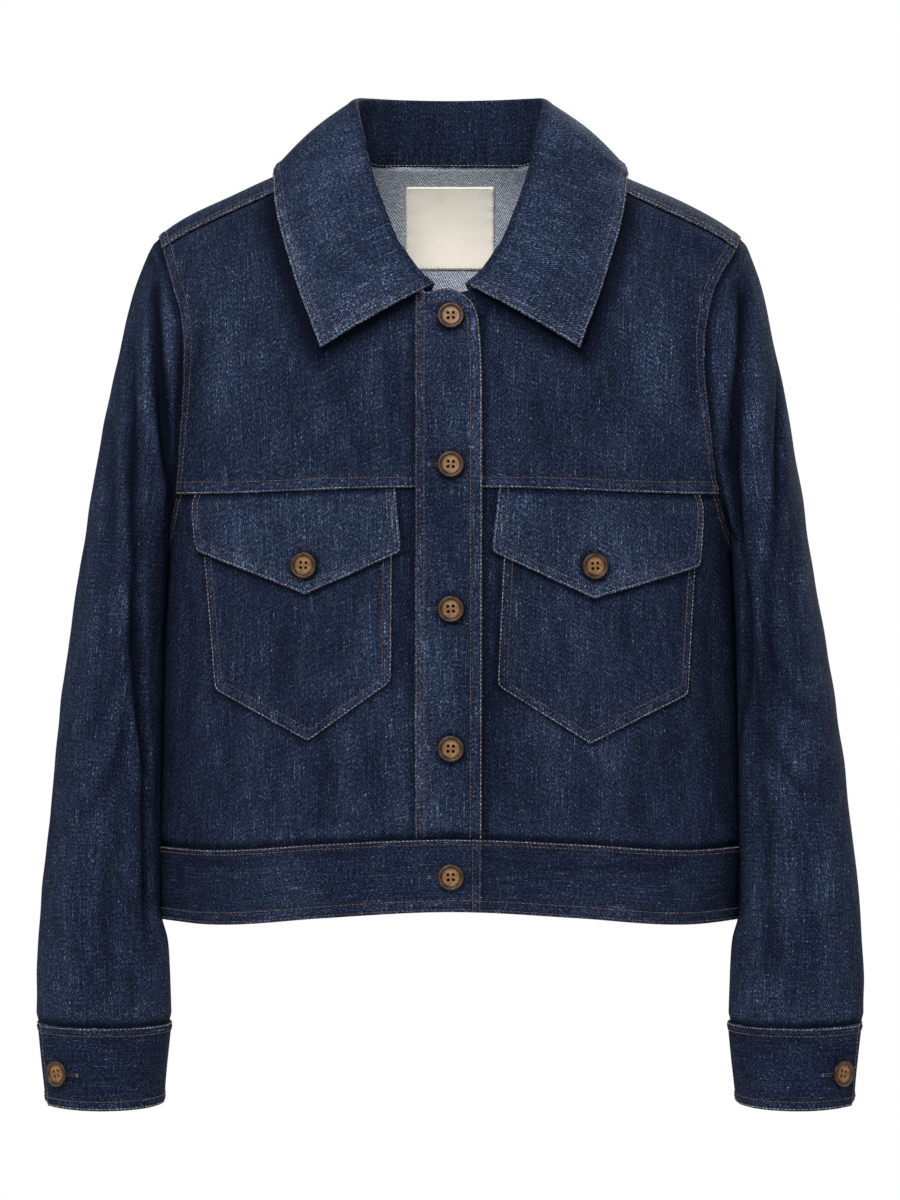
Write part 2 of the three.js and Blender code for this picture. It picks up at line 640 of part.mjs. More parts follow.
// A pocket or flap: straight sides from its top edge to a foot with a point in it.
function patch(top, foot, rows, columns, out) {
  const pointShare = (foot.point[0] - foot.outer[0]) / (foot.inner[0] - foot.outer[0]);
  const pointAt = Math.round(columns * pointShare);
  return Array.from({ length: rows + 1 }, (_, j) =>
    Array.from({ length: columns + 1 }, (_, i) => {
      const v = j / rows;
      const before = i <= pointAt;
      const u = before ? i / pointAt : (i - pointAt) / (columns - pointAt);
      const from = before ? foot.outer : foot.point;
      const to = before ? foot.point : foot.inner;
      const share = i / columns;
      const footX = lerp(from[0], to[0], u);
      const footZ = lerp(from[1], to[1], u);
      const topX = lerp(top.outer[0], top.inner[0], share);
      const topZ = lerp(top.outer[1], top.inner[1], share);
      const [x, z] = [lerp(topX, footX, v), lerp(topZ, footZ, v)];
      return onSkin(place(x, z, -1), out(topZ - z));
    }),
  );
}

const POCKET_OUT = SINGLE + LAYER_GAP;
const FLAP_OUT = POCKET_OUT + (SINGLE + FLAP_WALL) / 2 + BAND_GAP;
const FLAP_SEAM_OUT = (SINGLE + FLAP_WALL) / 2 + LAYER_GAP;

function pocket(side) {
  const { top, foot } = POCKETS[side];
  const corners = { outer: [top.outer, top.z], inner: [top.inner, top.z] };
  return patch(corners, foot, 6, 9, () => POCKET_OUT);
}

function flap(side) {
  const { top, foot } = FLAPS[side];
  const climb = (down) => lerp(FLAP_SEAM_OUT, FLAP_OUT, eased(down / FLAP_RISE));
  return patch(top, foot, 5, 9, climb);
}

// A sleeve's point: down runs from the armhole (0) to the cuff seam (1), and turn in degrees
// from the top through the front (90) and the inner side (180).
function sleevePoint(side, down, turn) {
  const sign = SIDES[side];
  const cos = Math.cos(turn * DEGREE);
  const sin = Math.sin(turn * DEGREE);
  const ring = (at) => {
    const outerZ = lerp(SLEEVE_TOP, SLEEVE_END, at);
    const innerZ = lerp(UNDERARM_Z, SLEEVE_END, Math.pow(at, INNER_EASE));
    const outer = smooth(OUTER_EDGE, "z", outerZ, side);
    const inner = smooth(INNER_EDGE, "z", innerZ, "x");
    const depth = smooth(SLEEVE, "down", at, "depth");
    const x = (outer + inner) / 2 + ((outer - inner) / 2) * cos;
    const y = smooth(SLEEVE, "down", at, "centreY") - depth * sin;
    const z = (outerZ + innerZ) / 2 + ((outerZ - innerZ) / 2) * cos;
    return new THREE.Vector3(sign * x, y, z - smooth(SLEEVE, "down", at, "tilt") * sin);
  };
  const around = ((turn % 360) + 360) % 360;
  const face = around > 180 ? 1 : -1;
  const seam = skin(...armhole(side, Math.min(around, 360 - around), face));
  const spread = Math.pow((1 - cos) / 2, 4);
  seam.x += sign * lerp(SLEEVE_OFF.top, SLEEVE_OFF.underarm, spread);
  const point = ring(down);
  const fade = Math.pow(Math.max(1 - down / SEAM_FADE, 0), 2);
  point.addScaledVector(seam.sub(ring(0)), fade);
  const fold = SLEEVE_FOLDS[side];
  const near = Math.max(1 - Math.abs(around - fold.turn) / fold.halfWidth, 0);
  const along = clamp((down - fold.from) / (fold.to - fold.from), 0, 1);
  const dip = fold.depth * eased(near) * Math.sin(Math.PI * along);
  return point.addScaledVector(new THREE.Vector3(-sign * cos, sin, 0), dip);
}

function sleeve(side) {
  const half = TURNS.slice(0, -1);
  const turns = [...half, ...TURNS.slice(1).reverse().map((turn) => 360 - turn)];
  const points = Array.from({ length: SLEEVE_RINGS + 1 }, (_, j) => {
    const down = Math.pow(j / SLEEVE_RINGS, RING_CROWDING);
    return turns.map((turn) => sleevePoint(side, down, turn));
  });
  return withNormals(points, true);
}

// A cuff's point, at a turn in degrees and a share of the way from its seam to its hem.
function cuffPoint(side, turn, down, out = 0) {
  const point = (angle, share) => {
    const of = (key) => lerp(CUFF_TOP[key], CUFF_HEM[key], share);
    const x = (of("outer") + of("inner")) / 2 + ((of("outer") - of("inner")) / 2) * Math.cos(angle);
    const sin = Math.sin(angle);
    return new THREE.Vector3(SIDES[side] * x, of("centreY") - of("depth") * sin, of("z") - of("tilt") * sin);
  };
  const small = 1e-3;
  const angle = turn * DEGREE;
  const around = point(angle + small, down).sub(point(angle - small, down));
  const along = point(angle, down + small).sub(point(angle, down - small));
  const normal = around.cross(along).normalize().multiplyScalar(SIDES[side]);
  return { at: point(angle, down).addScaledVector(normal, out), normal };
}

// The cuff's strip starts under the lap, runs round the back and ends over it.
function cuff(side) {
  const rows = 2;
  const lapTurns = Array.from({ length: LAP_STEPS + 1 }, (_, k) =>
    lerp(CUFF_LAP.under, CUFF_LAP.edge, k / LAP_STEPS),
  );
  const round = Array.from({ length: CUFF_STEPS - 1 }, (_, k) =>
    lerp(CUFF_LAP.edge, CUFF_LAP.under - 360, (k + 1) / CUFF_STEPS),
  );
  const turns = [...lapTurns, ...round, ...lapTurns.map((turn) => turn - 360)];
  return Array.from({ length: rows + 1 }, (_, j) =>
    turns.map((turn) => {
      const ramp = (CUFF_LAP.ramp - 360 - turn) / (CUFF_LAP.ramp - CUFF_LAP.full);
      const lift = turn < CUFF_LAP.edge - 180 ? LAP_LIFT * eased(ramp) : 0;
      return cuffPoint(side, turn, j / rows, lift);
    }),
  );
}

const underFall = [];
for (let s = 0; s <= UNDER_FALL.sides; s += UNDER_FALL.sideStep) {
  for (let w = UNDER_FALL.ahead; w <= UNDER_FALL.behind; w += UNDER_FALL.step) {
    underFall.push(onSkin([s, w]));
  }
}

// A point of the fall, moved out if it is too near the body.
function clearOfBody(point) {
  const nearest = underFall.reduce((a, b) =>
    a.at.distanceToSquared(point) < b.at.distanceToSquared(point) ? a : b,
  );
  const height = point.clone().sub(nearest.at).dot(nearest.normal);
  return point.addScaledVector(nearest.normal, Math.max(FALL_CLEARANCE - height, 0));
}

// The collar's section from its seam up the stand, over the fold and down the fall.
function collarSection(turn) {
  const of = (key) => smooth(COLLAR, "turn", turn, key);
  const fold = new THREE.Vector3(of("foldX"), of("foldY"), of("foldZ"));
  const edge = new THREE.Vector3(of("edgeX"), of("edgeY"), of("edgeZ"));
  const neck = skin(...neckline(turn));
  const up = fold.clone().sub(neck).normalize();
  const fall = edge.clone().sub(fold).normalize();
  const outward = fall.clone().addScaledVector(up, -fall.dot(up)).normalize();
  const lift = lerp(COLLAR_LIFT.front, COLLAR_LIFT.back, eased(turn / 90));
  const seam = neck.addScaledVector(up, lift);
  const inside = fold.clone().addScaledVector(up, -FOLD.below).addScaledVector(outward, -FOLD.inside);
  const outside = clearOfBody(
    fold.clone().addScaledVector(fall, FOLD.after).addScaledVector(outward, FOLD.outside),
  );
  const turnOver = new THREE.CubicBezierCurve3(
    inside,
    inside.clone().addScaledVector(up, FOLD.pull),
    outside.clone().addScaledVector(fall, -FOLD.pull),
    outside,
  );
  const along = up.clone().cross(fall).normalize();
  const proud = fall.clone().cross(along).normalize();
  const bow = (q) => 4 * q * (1 - q) * of("bow");
  return [
    seam,
    seam.clone().lerp(inside, 0.5),
    inside,
    ...FOLD_SHARES.map((q) => clearOfBody(turnOver.getPoint(q))),
    ...FALL_SHARES.map((q) => clearOfBody(outside.clone().lerp(edge, q).addScaledVector(proud, bow(q)))),
  ];
}

function collar() {
  const half = [...COLLAR_FRONT_TURNS, ...Object.values(NECK_TURNS).flat()].map(collarSection);
  const flip = (p) => new THREE.Vector3(-p.x, p.y, p.z);
  const other = half.slice(0, -1).reverse().map((section) => section.map(flip));
  return withNormals([...half, ...other]);
}

function label() {
  const columns = 4;
  const rows = 4;
  const out = -((SINGLE + LABEL_WALL) / 2 + LABEL.gap);
  return Array.from({ length: rows + 1 }, (_, j) =>
    Array.from({ length: columns + 1 }, (_, i) => {
      const x = lerp(-LABEL.halfWidth, LABEL.halfWidth, i / columns);
      return onSkin(place(x, lerp(LABEL.top, LABEL.foot, j / rows), 1), out);
    }),
  );
}

// A solid for joining and cutting, from a closed geometry.
function solid(geometry) {
  geometry.deleteAttribute("normal");
  geometry.deleteAttribute("uv");
  const merged = mergeVertices(geometry, 1e-3);
  const mesh = new wasm.Mesh({
    numProp: 3,
    vertProperties: merged.attributes.position.array,
    triVerts: new Uint32Array(merged.index.array),
  });
  return new wasm.Manifold(mesh);
}

// A button with a raised rim and four holes, standing on its back face at the origin.
function buttonGeometry() {
  const outline = BUTTON_PROFILE.map(({ radius, height }) => new THREE.Vector2(radius, height));
  const disc = new THREE.LatheGeometry(outline, BUTTON_SIDES).rotateX(QUARTER);
  let button = solid(disc);
  for (const x of [-1, 1])
    for (const y of [-1, 1]) {
      const hole = new THREE.CylinderGeometry(BUTTON_HOLE.radius, BUTTON_HOLE.radius, 12, BUTTON_HOLE.sides);
      hole.rotateX(QUARTER).translate(x * BUTTON_HOLE.spread, y * BUTTON_HOLE.spread, 0);
      button = button.subtract(solid(hole));
    }
  const { vertProperties, triVerts } = button.getMesh();
  return closedGeometry([...vertProperties], [...triVerts]);
}

// A button on cloth, at the point where it sits and facing along the cloth's normal.
function addButton(name, { at, normal }) {
  const button = add(name, buttonGeometry(), HORN);
  const right = new THREE.Vector3(0, 0, 1).cross(normal).normalize();
  const up = normal.clone().cross(right);
  button.quaternion.setFromRotationMatrix(new THREE.Matrix4().makeBasis(right, up, normal));
  button.position.copy(at).addScaledVector(normal, BUTTON_SEAT);
}

add("back", wall(lifted(back()), SINGLE), CLOTH);
add("waistband", wall([waistband()], DOUBLE), CLOTH);
add("placket", wall([placket()], DOUBLE), CLOTH);
add("collar", wall([collar()], DOUBLE), CLOTH);
add("label", wall([label()], LABEL_WALL), LABEL_CLOTH);
for (const side of ["right", "left"]) {
  const edge = side === "right" ? RIGHT_FRONT_EDGE : STAND_EDGE;
  add("yoke_" + side, wall(lifted(frontYoke(side, edge)), SINGLE), CLOTH);
  add("front_" + side, wall(lifted(lowerFront(side, edge)), SINGLE), CLOTH);
  add("pocket_" + side, wall([pocket(side)], SINGLE), CLOTH);
  add("flap_" + side, wall([flap(side)], FLAP_WALL), CLOTH);
  add("sleeve_" + side, wall([sleeve(side)], SINGLE, true), CLOTH);
  add("cuff_" + side, wall([cuff(side)], DOUBLE), CLOTH);
  const flapSeat = place(...FLAPS[side].button, -1);
  addButton("button_flap_" + side, onSkin(flapSeat, FLAP_OUT + FLAP_WALL / 2));
  const cuffSeat = cuffPoint(side, CUFF_BUTTON_TURN, CUFF_BUTTON_DOWN, LAP_LIFT + DOUBLE / 2);
  addButton("button_cuff_" + side, cuffSeat);
}

const PLACKET_FACE = SINGLE / 2 + BAND_GAP + DOUBLE;
const BAND_FACE = BAND_PROUD + LAP_LIFT + DOUBLE / 2;
FRONT_BUTTONS.forEach((z, k) => {
  const out = k < FRONT_BUTTONS.length - 1 ? PLACKET_FACE : BAND_FACE;
  addButton("button_front_" + (k + 1), onSkin(place(FRONT_BUTTON_X, z, -1), out));
});

export default jacket;
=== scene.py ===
"""A cropped denim jacket, filled out and hollow as it is worn, with no wearer in it.

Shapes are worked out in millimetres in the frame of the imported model, and become metres when
they are made into meshes. +Z is up and the jacket faces -Y, so the wearer's right is at -X.
"""

import json

import bmesh
import bpy
import numpy as np
from mathutils import Matrix, Vector
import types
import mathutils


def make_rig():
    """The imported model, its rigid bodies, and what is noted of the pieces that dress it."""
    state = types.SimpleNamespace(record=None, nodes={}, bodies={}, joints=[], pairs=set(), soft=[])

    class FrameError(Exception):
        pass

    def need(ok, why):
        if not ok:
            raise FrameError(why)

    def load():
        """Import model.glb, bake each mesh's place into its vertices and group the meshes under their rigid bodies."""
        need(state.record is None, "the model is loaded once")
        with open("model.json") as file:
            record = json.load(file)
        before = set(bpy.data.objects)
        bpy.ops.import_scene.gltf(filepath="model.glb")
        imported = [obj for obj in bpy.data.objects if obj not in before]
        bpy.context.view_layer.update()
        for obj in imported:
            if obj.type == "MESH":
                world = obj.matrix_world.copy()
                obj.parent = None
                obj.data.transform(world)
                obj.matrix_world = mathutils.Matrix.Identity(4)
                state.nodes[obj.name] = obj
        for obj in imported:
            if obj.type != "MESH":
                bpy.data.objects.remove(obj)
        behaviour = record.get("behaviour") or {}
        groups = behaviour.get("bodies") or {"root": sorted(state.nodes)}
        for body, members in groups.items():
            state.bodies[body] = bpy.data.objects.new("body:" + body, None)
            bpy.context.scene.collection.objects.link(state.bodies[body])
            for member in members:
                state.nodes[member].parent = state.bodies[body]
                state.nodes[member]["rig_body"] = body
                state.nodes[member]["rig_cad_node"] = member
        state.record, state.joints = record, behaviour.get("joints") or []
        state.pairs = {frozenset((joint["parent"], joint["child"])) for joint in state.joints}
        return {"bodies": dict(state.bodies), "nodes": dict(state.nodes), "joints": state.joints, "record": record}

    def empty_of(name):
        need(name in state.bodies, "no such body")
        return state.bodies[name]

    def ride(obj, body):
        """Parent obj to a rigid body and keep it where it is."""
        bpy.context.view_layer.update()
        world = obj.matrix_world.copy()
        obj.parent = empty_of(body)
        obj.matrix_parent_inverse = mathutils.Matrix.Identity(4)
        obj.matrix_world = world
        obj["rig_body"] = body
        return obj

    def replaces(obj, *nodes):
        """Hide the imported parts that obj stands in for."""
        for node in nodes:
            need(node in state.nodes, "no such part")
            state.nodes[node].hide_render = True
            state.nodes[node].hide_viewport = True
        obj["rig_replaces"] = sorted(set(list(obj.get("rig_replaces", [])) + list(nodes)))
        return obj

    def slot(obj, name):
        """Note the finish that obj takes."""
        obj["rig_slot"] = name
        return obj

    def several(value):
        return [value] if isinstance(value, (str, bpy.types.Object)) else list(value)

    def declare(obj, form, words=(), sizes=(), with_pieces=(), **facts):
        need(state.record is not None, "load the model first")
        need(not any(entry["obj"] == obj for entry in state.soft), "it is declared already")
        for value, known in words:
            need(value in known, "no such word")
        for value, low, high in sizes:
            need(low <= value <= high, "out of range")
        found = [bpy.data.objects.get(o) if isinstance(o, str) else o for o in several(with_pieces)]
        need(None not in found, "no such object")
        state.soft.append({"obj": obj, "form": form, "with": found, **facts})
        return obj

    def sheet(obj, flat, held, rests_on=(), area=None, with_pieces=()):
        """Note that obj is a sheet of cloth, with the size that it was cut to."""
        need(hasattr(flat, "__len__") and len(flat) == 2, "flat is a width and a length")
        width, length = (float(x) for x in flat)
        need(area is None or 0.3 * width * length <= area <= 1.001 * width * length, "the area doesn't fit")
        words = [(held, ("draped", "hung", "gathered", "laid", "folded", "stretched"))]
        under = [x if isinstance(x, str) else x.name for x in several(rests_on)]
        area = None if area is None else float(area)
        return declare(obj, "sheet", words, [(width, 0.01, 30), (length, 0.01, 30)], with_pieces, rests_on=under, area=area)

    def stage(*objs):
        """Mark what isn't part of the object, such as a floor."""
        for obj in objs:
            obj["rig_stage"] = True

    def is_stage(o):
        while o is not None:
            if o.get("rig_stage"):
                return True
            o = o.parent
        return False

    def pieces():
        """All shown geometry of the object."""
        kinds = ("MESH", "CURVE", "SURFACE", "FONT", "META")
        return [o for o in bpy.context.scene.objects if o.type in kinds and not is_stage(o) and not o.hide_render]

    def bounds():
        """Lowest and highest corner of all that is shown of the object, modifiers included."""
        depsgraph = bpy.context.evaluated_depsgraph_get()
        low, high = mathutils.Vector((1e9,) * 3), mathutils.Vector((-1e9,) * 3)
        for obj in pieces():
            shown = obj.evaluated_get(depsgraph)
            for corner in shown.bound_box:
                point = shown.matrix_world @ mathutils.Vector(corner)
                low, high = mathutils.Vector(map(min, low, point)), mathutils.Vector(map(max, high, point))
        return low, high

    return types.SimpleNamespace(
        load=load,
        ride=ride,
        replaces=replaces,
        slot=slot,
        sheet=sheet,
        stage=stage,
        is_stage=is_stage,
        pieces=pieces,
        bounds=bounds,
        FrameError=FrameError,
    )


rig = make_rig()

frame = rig.load()
cad_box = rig.bounds()

MM = 0.001
QUARTER = np.pi / 2
SIDES = {"right": -1, "left": 1}
FRONT, BACK = -1, 1


def table(names, *rows):
    """A table's columns by name."""
    return dict(zip(names.split(), np.array(rows, float).T))


# ---------------------------------------------------------------- sizes of the form

RIDGE_Y = 5  # plane of the shoulder ridge and of the side seams
SQUARENESS = 2.5  # exponent of the body's sections, where 2 is an ellipse
SHOULDER_SPAN = 235
SHOULDER_ROUND = 95
SHOULDER = table(
    "x z", (0, 27), (35, 23.5), (70, 12.8), (131.6, -15.3), (177, -36.3), (193, -45.3), (204, -54), (235, -84)
)
BODY = table(
    "z half_width front back",
    (35, 235, 72, 83),
    (-50, 235, 74.5, 92),
    (-92, 235, 80.5, 96),
    (-125, 232, 88.5, 98),
    (-160, 220, 97.5, 98),
    (-200, 209.5, 105, 97),
    (-232, 201.5, 108.5, 96),
    (-268, 197, 109, 95),
    (-340, 200, 107, 92),
    (-410, 201.5, 105, 91),
    (-480, 203, 104, 93),
    (-540, 201, 103, 94),
)

NECK_HALF = 70
NECK_DROP = 105.8
NECK_BACK_Z = -3
NECK_BACK_FALL = 45  # turns over which the back's neckline falls to its level
RISE_TURN = 51  # the yoke's shoulder part meets its lower part here on the neckline
FORWARD_TURN = 84.5  # the forward shoulder seam meets the neckline here
BACK_TURN = 112  # the back's shoulder parts meet its lower part here

ARMHOLE_Z = -161
ARMHOLE_HALF = 107
UNDERARM_Z = ARMHOLE_Z - ARMHOLE_HALF
ARMHOLE = table(
    "z right left",
    (-54, 204, 204),
    (-64, 201, 200),
    (-78, 197, 191.5),
    (-91, 193.5, 185.5),
    (-107, 189, 181.5),
    (-125, 187, 179),
    (-150, 187.5, 179),
    (-185, 189, 182),
    (-225, 191, 186),
    (-250, 194, 191.5),
    (-268, 197, 197),
)
FORWARD_ARM = 22.5  # turns round the armhole: the forward shoulder seam
RISE_ARM = 82  # the foot of the yoke's shoulder part
YOKE_ARM = 133  # the front yoke seam

YOKE_SEAM = {"z": -229.5, "level_to": 20, "fall_to": 190}
STAND_EDGE = -16
FRONT_EDGE = {"right": -20, "left": STAND_EDGE}
PLACKET_EDGES = (-24.5, 22.4)
PLACKET_TOP = table("x z", (-24.5, -91.5), (-13.5, -92.6), (-6, -90.6), (1, -90.3), (9, -94))
PLACKET_SIDE = table("z x", (-94, 9), (-99, 15), (-106, 18.6), (-116, 20.6), (-146, 22.4), (-500, 22.4))

WAIST = table(
    "across seam hem",
    (-0.45, -479, -531),
    (0, -475.5, -526.5),
    (0.45, -479, -531),
    (0.7, -482.5, -535),
    (0.85, -483, -535.3),
    (1, -480.5, -532),
)
WAIST_Z = -480
WAIST_DOWN = 400  # w of the line along which the waistband's length is measured
BAND_HEIGHT = 52.0
LAP_LIFT = 2.6
LAP_RAMP = (-60, -28)

SLEEVE_TOP = -54
SLEEVE_END = -603
INNER_EASE = 1.8
SEAM_FADE = 0.3
SLEEVE_OFF = (0.7, 1.9)
OUTER_EDGE = table(
    "z right left",
    (-54, 204, 204),
    (-66, 212, 209.5),
    (-87, 220.5, 217),
    (-130, 231, 227),
    (-214, 247, 243),
    (-298, 261, 256),
    (-382, 273, 270),
    (-466, 281.4, 281),
    (-550, 288.4, 288.5),
    (-603, 289.8, 289.8),
)
INNER_EDGE = table(
    "z x",
    (-268, 197.6),
    (-285, 198.4),
    (-320, 200.4),
    (-400, 202),
    (-470, 203),
    (-530, 202.8),
    (-545, 199),
    (-560, 197.6),
    (-603, 196),
)
SLEEVE = table(
    "down centre_y depth tilt",
    (0, 5, 62, 0),
    (0.12, 4, 66, 0),
    (0.3, 3, 71, 0),
    (0.45, 1, 70, 0),
    (0.6, -2, 64, 1),
    (0.75, -5, 57, 2),
    (0.9, -8, 49, 4),
    (1, -10, 44.5, 5),
)
SLEEVE_FOLDS = {
    "right": {"turn": 110, "half_width": 15, "depth": 5, "span": (0.12, 0.95)},
    "left": {"turn": 133, "half_width": 18, "depth": 5, "span": (0.1, 0.9)},
}
SLEEVE_SEAM = 214  # turn at which the sleeve's own seam runs down

CUFF = table(
    "down outer inner z depth tilt centre_y",
    (0, 288.6, 196.4, -603.3, 44.1, 5, -10),
    (1, 282.6, 201.6, -659.5, 38.5, 7, -12),
)
CUFF_LAP = {"edge": 25, "ramp": 110, "full": 72, "under": 70}
CUFF_HEIGHT = 56.5
CUFF_BUTTON = (46, 0.57)  # turn and share of the way down

COLLAR = table(
    "turn fold_x fold_y fold_z edge_x edge_y edge_z bow",
    (10.7, 12.5, -80.5, -87, 91, -89.5, -131.5, 2),
    (21, 24, -80, -75, 98, -82.5, -112, 2.5),
    (37, 36, -72, -56, 105, -75.5, -94, 3.5),
    (52, 45, -62, -35, 111, -68, -75, 4.5),
    (68, 54, -46, -10, 119, -49, -46, 5),
    (82, 61, -26, 18, 123, -27, -21.5, 5),
    (96, 66, 2, 39.5, 124, -2, -7.5, 4),
    (112, 65.5, 22, 44, 117, 28, -6.5, 4),
    (130, 56.5, 43, 44.3, 98, 58, -11, 4),
    (150, 36, 62, 43.6, 63, 83, -13, 4),
    (180, 0, 72, 43, 0, 96, -14, 4),
    (210, -36, 62, 43.6, -63, 83, -13, 4),
)
COLLAR_LIFT = (-2.2, -1.0)  # of the stand's edge over the neckline
FALL_CLEARANCE = 3.2  # the fall's middle stays this far above the body's
FOLD = {"below": 3.4, "inside": 1.3, "after": 5.5, "outside": 1.1, "pull": 4.5}

POCKETS = {
    "right": {"top": ((-173.5, -248), (-40, -248)), "foot": ((-164, -371), (-99.5, -407), (-41, -365))},
    "left": {"top": ((172.5, -250), (38.5, -250)), "foot": ((166, -374.5), (98, -409), (33, -368))},
}
FLAPS = {
    "right": {"top": ((-179, -232.6), (-38, -231.2)), "foot": ((-175, -274), (-100.5, -304), (-34, -274))},
    "left": {"top": ((175, -236.2), (34, -232.2)), "foot": ((172.5, -285), (100, -307), (29, -274))},
}
# The yoke's rise over the sewn-in tops of the flaps: where it begins and ends in x, and its fades
FLAP_ROOT = {"lift": 0.8, "width": 9, "inner": (30, 12), "outer": (182, 10)}
FLAP_BUTTONS = {"right": (-101, -283.5), "left": (100, -284)}
LABEL = {"half_width": 31, "top": -16, "foot": -75}
FRONT_BUTTONS = (-110, -213.5, -314, -412, -502)
FRONT_BUTTON_X = 0.5
BUTTON_SHADE = 9.2  # radius of the ring of painted shadow round a button, a little inside its rim
BUTTON_SHADE_DROP = 0.8

# How far out of the middle of the body's cloth the outer face of each layer lies
SKIN_FACE = 0.7
FLAP_FACE = 5.4
FLAP_SEAM_FACE = 3.0
FLAP_ROOT_FACE = 1.7
POCKET_FACE = 2.3
PLACKET_FACE = 3.9
PLACKET_SINK = ((1.3, 9), (0.9, 14))  # how far it sinks at its sewn side and its foot, and from where
COLLAR_FACE = 1.1  # from its own middle
LABEL_FACE = 2.4  # inward
BAND_FACE = 1.5
CUFF_FACE = 1.0  # from the cuff's own form
BUTTON_SEAT = 0.4  # the buttons' backs over the cloth's face

# Thicknesses of the cloth as it is made up
PLAIN_CLOTH = 1.15
SLEEVE_CLOTH = 1.5
POCKET_CLOTH = 1.5
FLAP_CLOTH = 1.9
PLACKET_CLOTH = 2.0
FOLDED_CLOTH = 2.2  # collar, cuffs and waistband
LABEL_CLOTH = 0.6

SLEEVE_FACING = 16  # how far the cloth's face is seen on the inside of a sleeve's head


# ---------------------------------------------------------------- numbers


def smooth(rows, key, at):
    """One column of a table, smoothly, at places along its first column."""
    along, values = next(iter(rows.values())), rows[key]
    if along[-1] < along[0]:
        along, values = along[::-1], values[::-1]
    at = np.clip(at, along[0], along[-1])
    before, after = np.maximum(np.arange(len(along)) - 1, 0), np.minimum(np.arange(len(along)) + 1, len(along) - 1)
    slope = (values[after] - values[before]) / (along[after] - along[before])
    i = np.clip(np.searchsorted(along, at, side="right") - 1, 0, len(along) - 2)
    step = along[i + 1] - along[i]
    t = (at - along[i]) / step
    ease = t * t * (3 - 2 * t)
    turns = step * (t * (1 - t) ** 2 * slope[i] + t * t * (t - 1) * slope[i + 1])
    return values[i] * (1 - ease) + values[i + 1] * ease + turns


def eased(t):
    t = np.clip(t, 0, 1)
    return t * t * (3 - 2 * t)


def lerp(a, b, t):
    return a * (1 - t) + b * t


def unit(vectors):
    return vectors / np.maximum(np.linalg.norm(vectors, axis=-1, keepdims=True), 1e-12)


def bell(distance, width):
    return np.exp(-((distance / width) ** 2))


def wobble(run, length, seed):
    """A smooth uneven wave along a line, about -1 to 1, whose swells are about one length apart."""
    rng = np.random.default_rng(seed)
    waves = 2 * np.pi / (length * rng.uniform(0.6, 1.7, 6))
    phases = rng.uniform(0, 2 * np.pi, 6)
    return np.sin(np.asarray(run)[..., None] * waves + phases).mean(-1) * 1.7


def ripples(points, length, seed, upright):
    """A smooth uneven field in space, about -1 to 1; above 1, upright draws its swells out in height."""
    rng = np.random.default_rng(seed)
    ways = unit(rng.normal(size=(12, 3)) * (1, 1, 1 / upright))
    waves = ways * 2 * np.pi / (length * rng.uniform(0.7, 1.6, (12, 1)))
    phases = rng.uniform(0, 2 * np.pi, 12)
    return np.sin(points @ waves.T + phases).mean(-1) * 2.2


def near(points, line):
    """How far points are from a line, and how far along it the nearest place is."""
    start, way = line[:-1], np.diff(line, axis=0)
    size = np.maximum((way**2).sum(1), 1e-12)
    runs = np.concatenate([[0], np.cumsum(np.sqrt(size))])[:-1]
    distance, run = np.empty(len(points)), np.empty(len(points))
    for first in range(0, len(points), 4000):
        part = points[first : first + 4000, None] - start
        share = np.clip((part * way).sum(-1) / size, 0, 1)
        apart = np.sqrt(((part - share[..., None] * way) ** 2).sum(-1))
        best = apart.argmin(1)
        rows = np.arange(len(best))
        distance[first : first + 4000] = apart[rows, best]
        run[first : first + 4000] = runs[best] + share[rows, best] * np.sqrt(size[best])
    return distance, run


def lengths(points):
    """Distances along a line of points, from its start."""
    return np.concatenate([[0], np.cumsum(np.linalg.norm(np.diff(points, axis=0), axis=1))])


# ---------------------------------------------------------------- the form


def shoulder_z(across):
    return smooth(SHOULDER, "z", SHOULDER_SPAN * np.abs(across))


def across_of(s):
    return np.sign(s) * np.sin(np.abs(s) * QUARTER) ** (2 / SQUARENESS)


def skin(s, w):
    """The body: s runs from the right side (-1) to the left (1), and w down the cloth from the ridge."""
    across = np.abs(across_of(s))
    reach = np.maximum(np.cos(s * QUARTER), 0) ** (2 / SQUARENESS)
    turned = np.minimum(np.abs(w) / SHOULDER_ROUND, QUARTER)
    straight = np.abs(w) - turned * SHOULDER_ROUND
    z = shoulder_z(across) - SHOULDER_ROUND * (1 - np.cos(turned)) - straight
    depth = np.where(w < 0, smooth(BODY, "front", z), smooth(BODY, "back", z))
    x = np.sign(s) * smooth(BODY, "half_width", z) * across
    return np.stack([x, RIDGE_Y + np.sign(w) * depth * reach * np.sin(turned), z], -1)


def place(x, z, face):
    """The place on the body's skin at a point of the front view or, with face BACK, behind it."""
    x, z = np.broadcast_arrays(np.asarray(x, float), np.asarray(z, float))
    across = np.minimum(np.abs(x) / smooth(BODY, "half_width", z), 1)
    s = np.sign(x) * np.arcsin(across ** (SQUARENESS / 2)) / QUARTER
    drop = np.maximum(shoulder_z(across) - z, 0)
    rounded = SHOULDER_ROUND * np.arccos(np.maximum(1 - drop / SHOULDER_ROUND, 0))
    return np.stack([s, face * (rounded + np.maximum(drop - SHOULDER_ROUND, 0))], -1)


def on_skin(places):
    """Points in space at places on the body's skin."""
    return skin(places[..., 0], places[..., 1])


def skin_out(places):
    """The way out of the body's skin."""
    s, w = places[..., 0], places[..., 1]
    across = skin(np.minimum(s + 1e-4, 1), w) - skin(np.maximum(s - 1e-4, -1), w)
    return unit(np.cross(across, skin(s, w + 0.01) - skin(s, w - 0.01)))


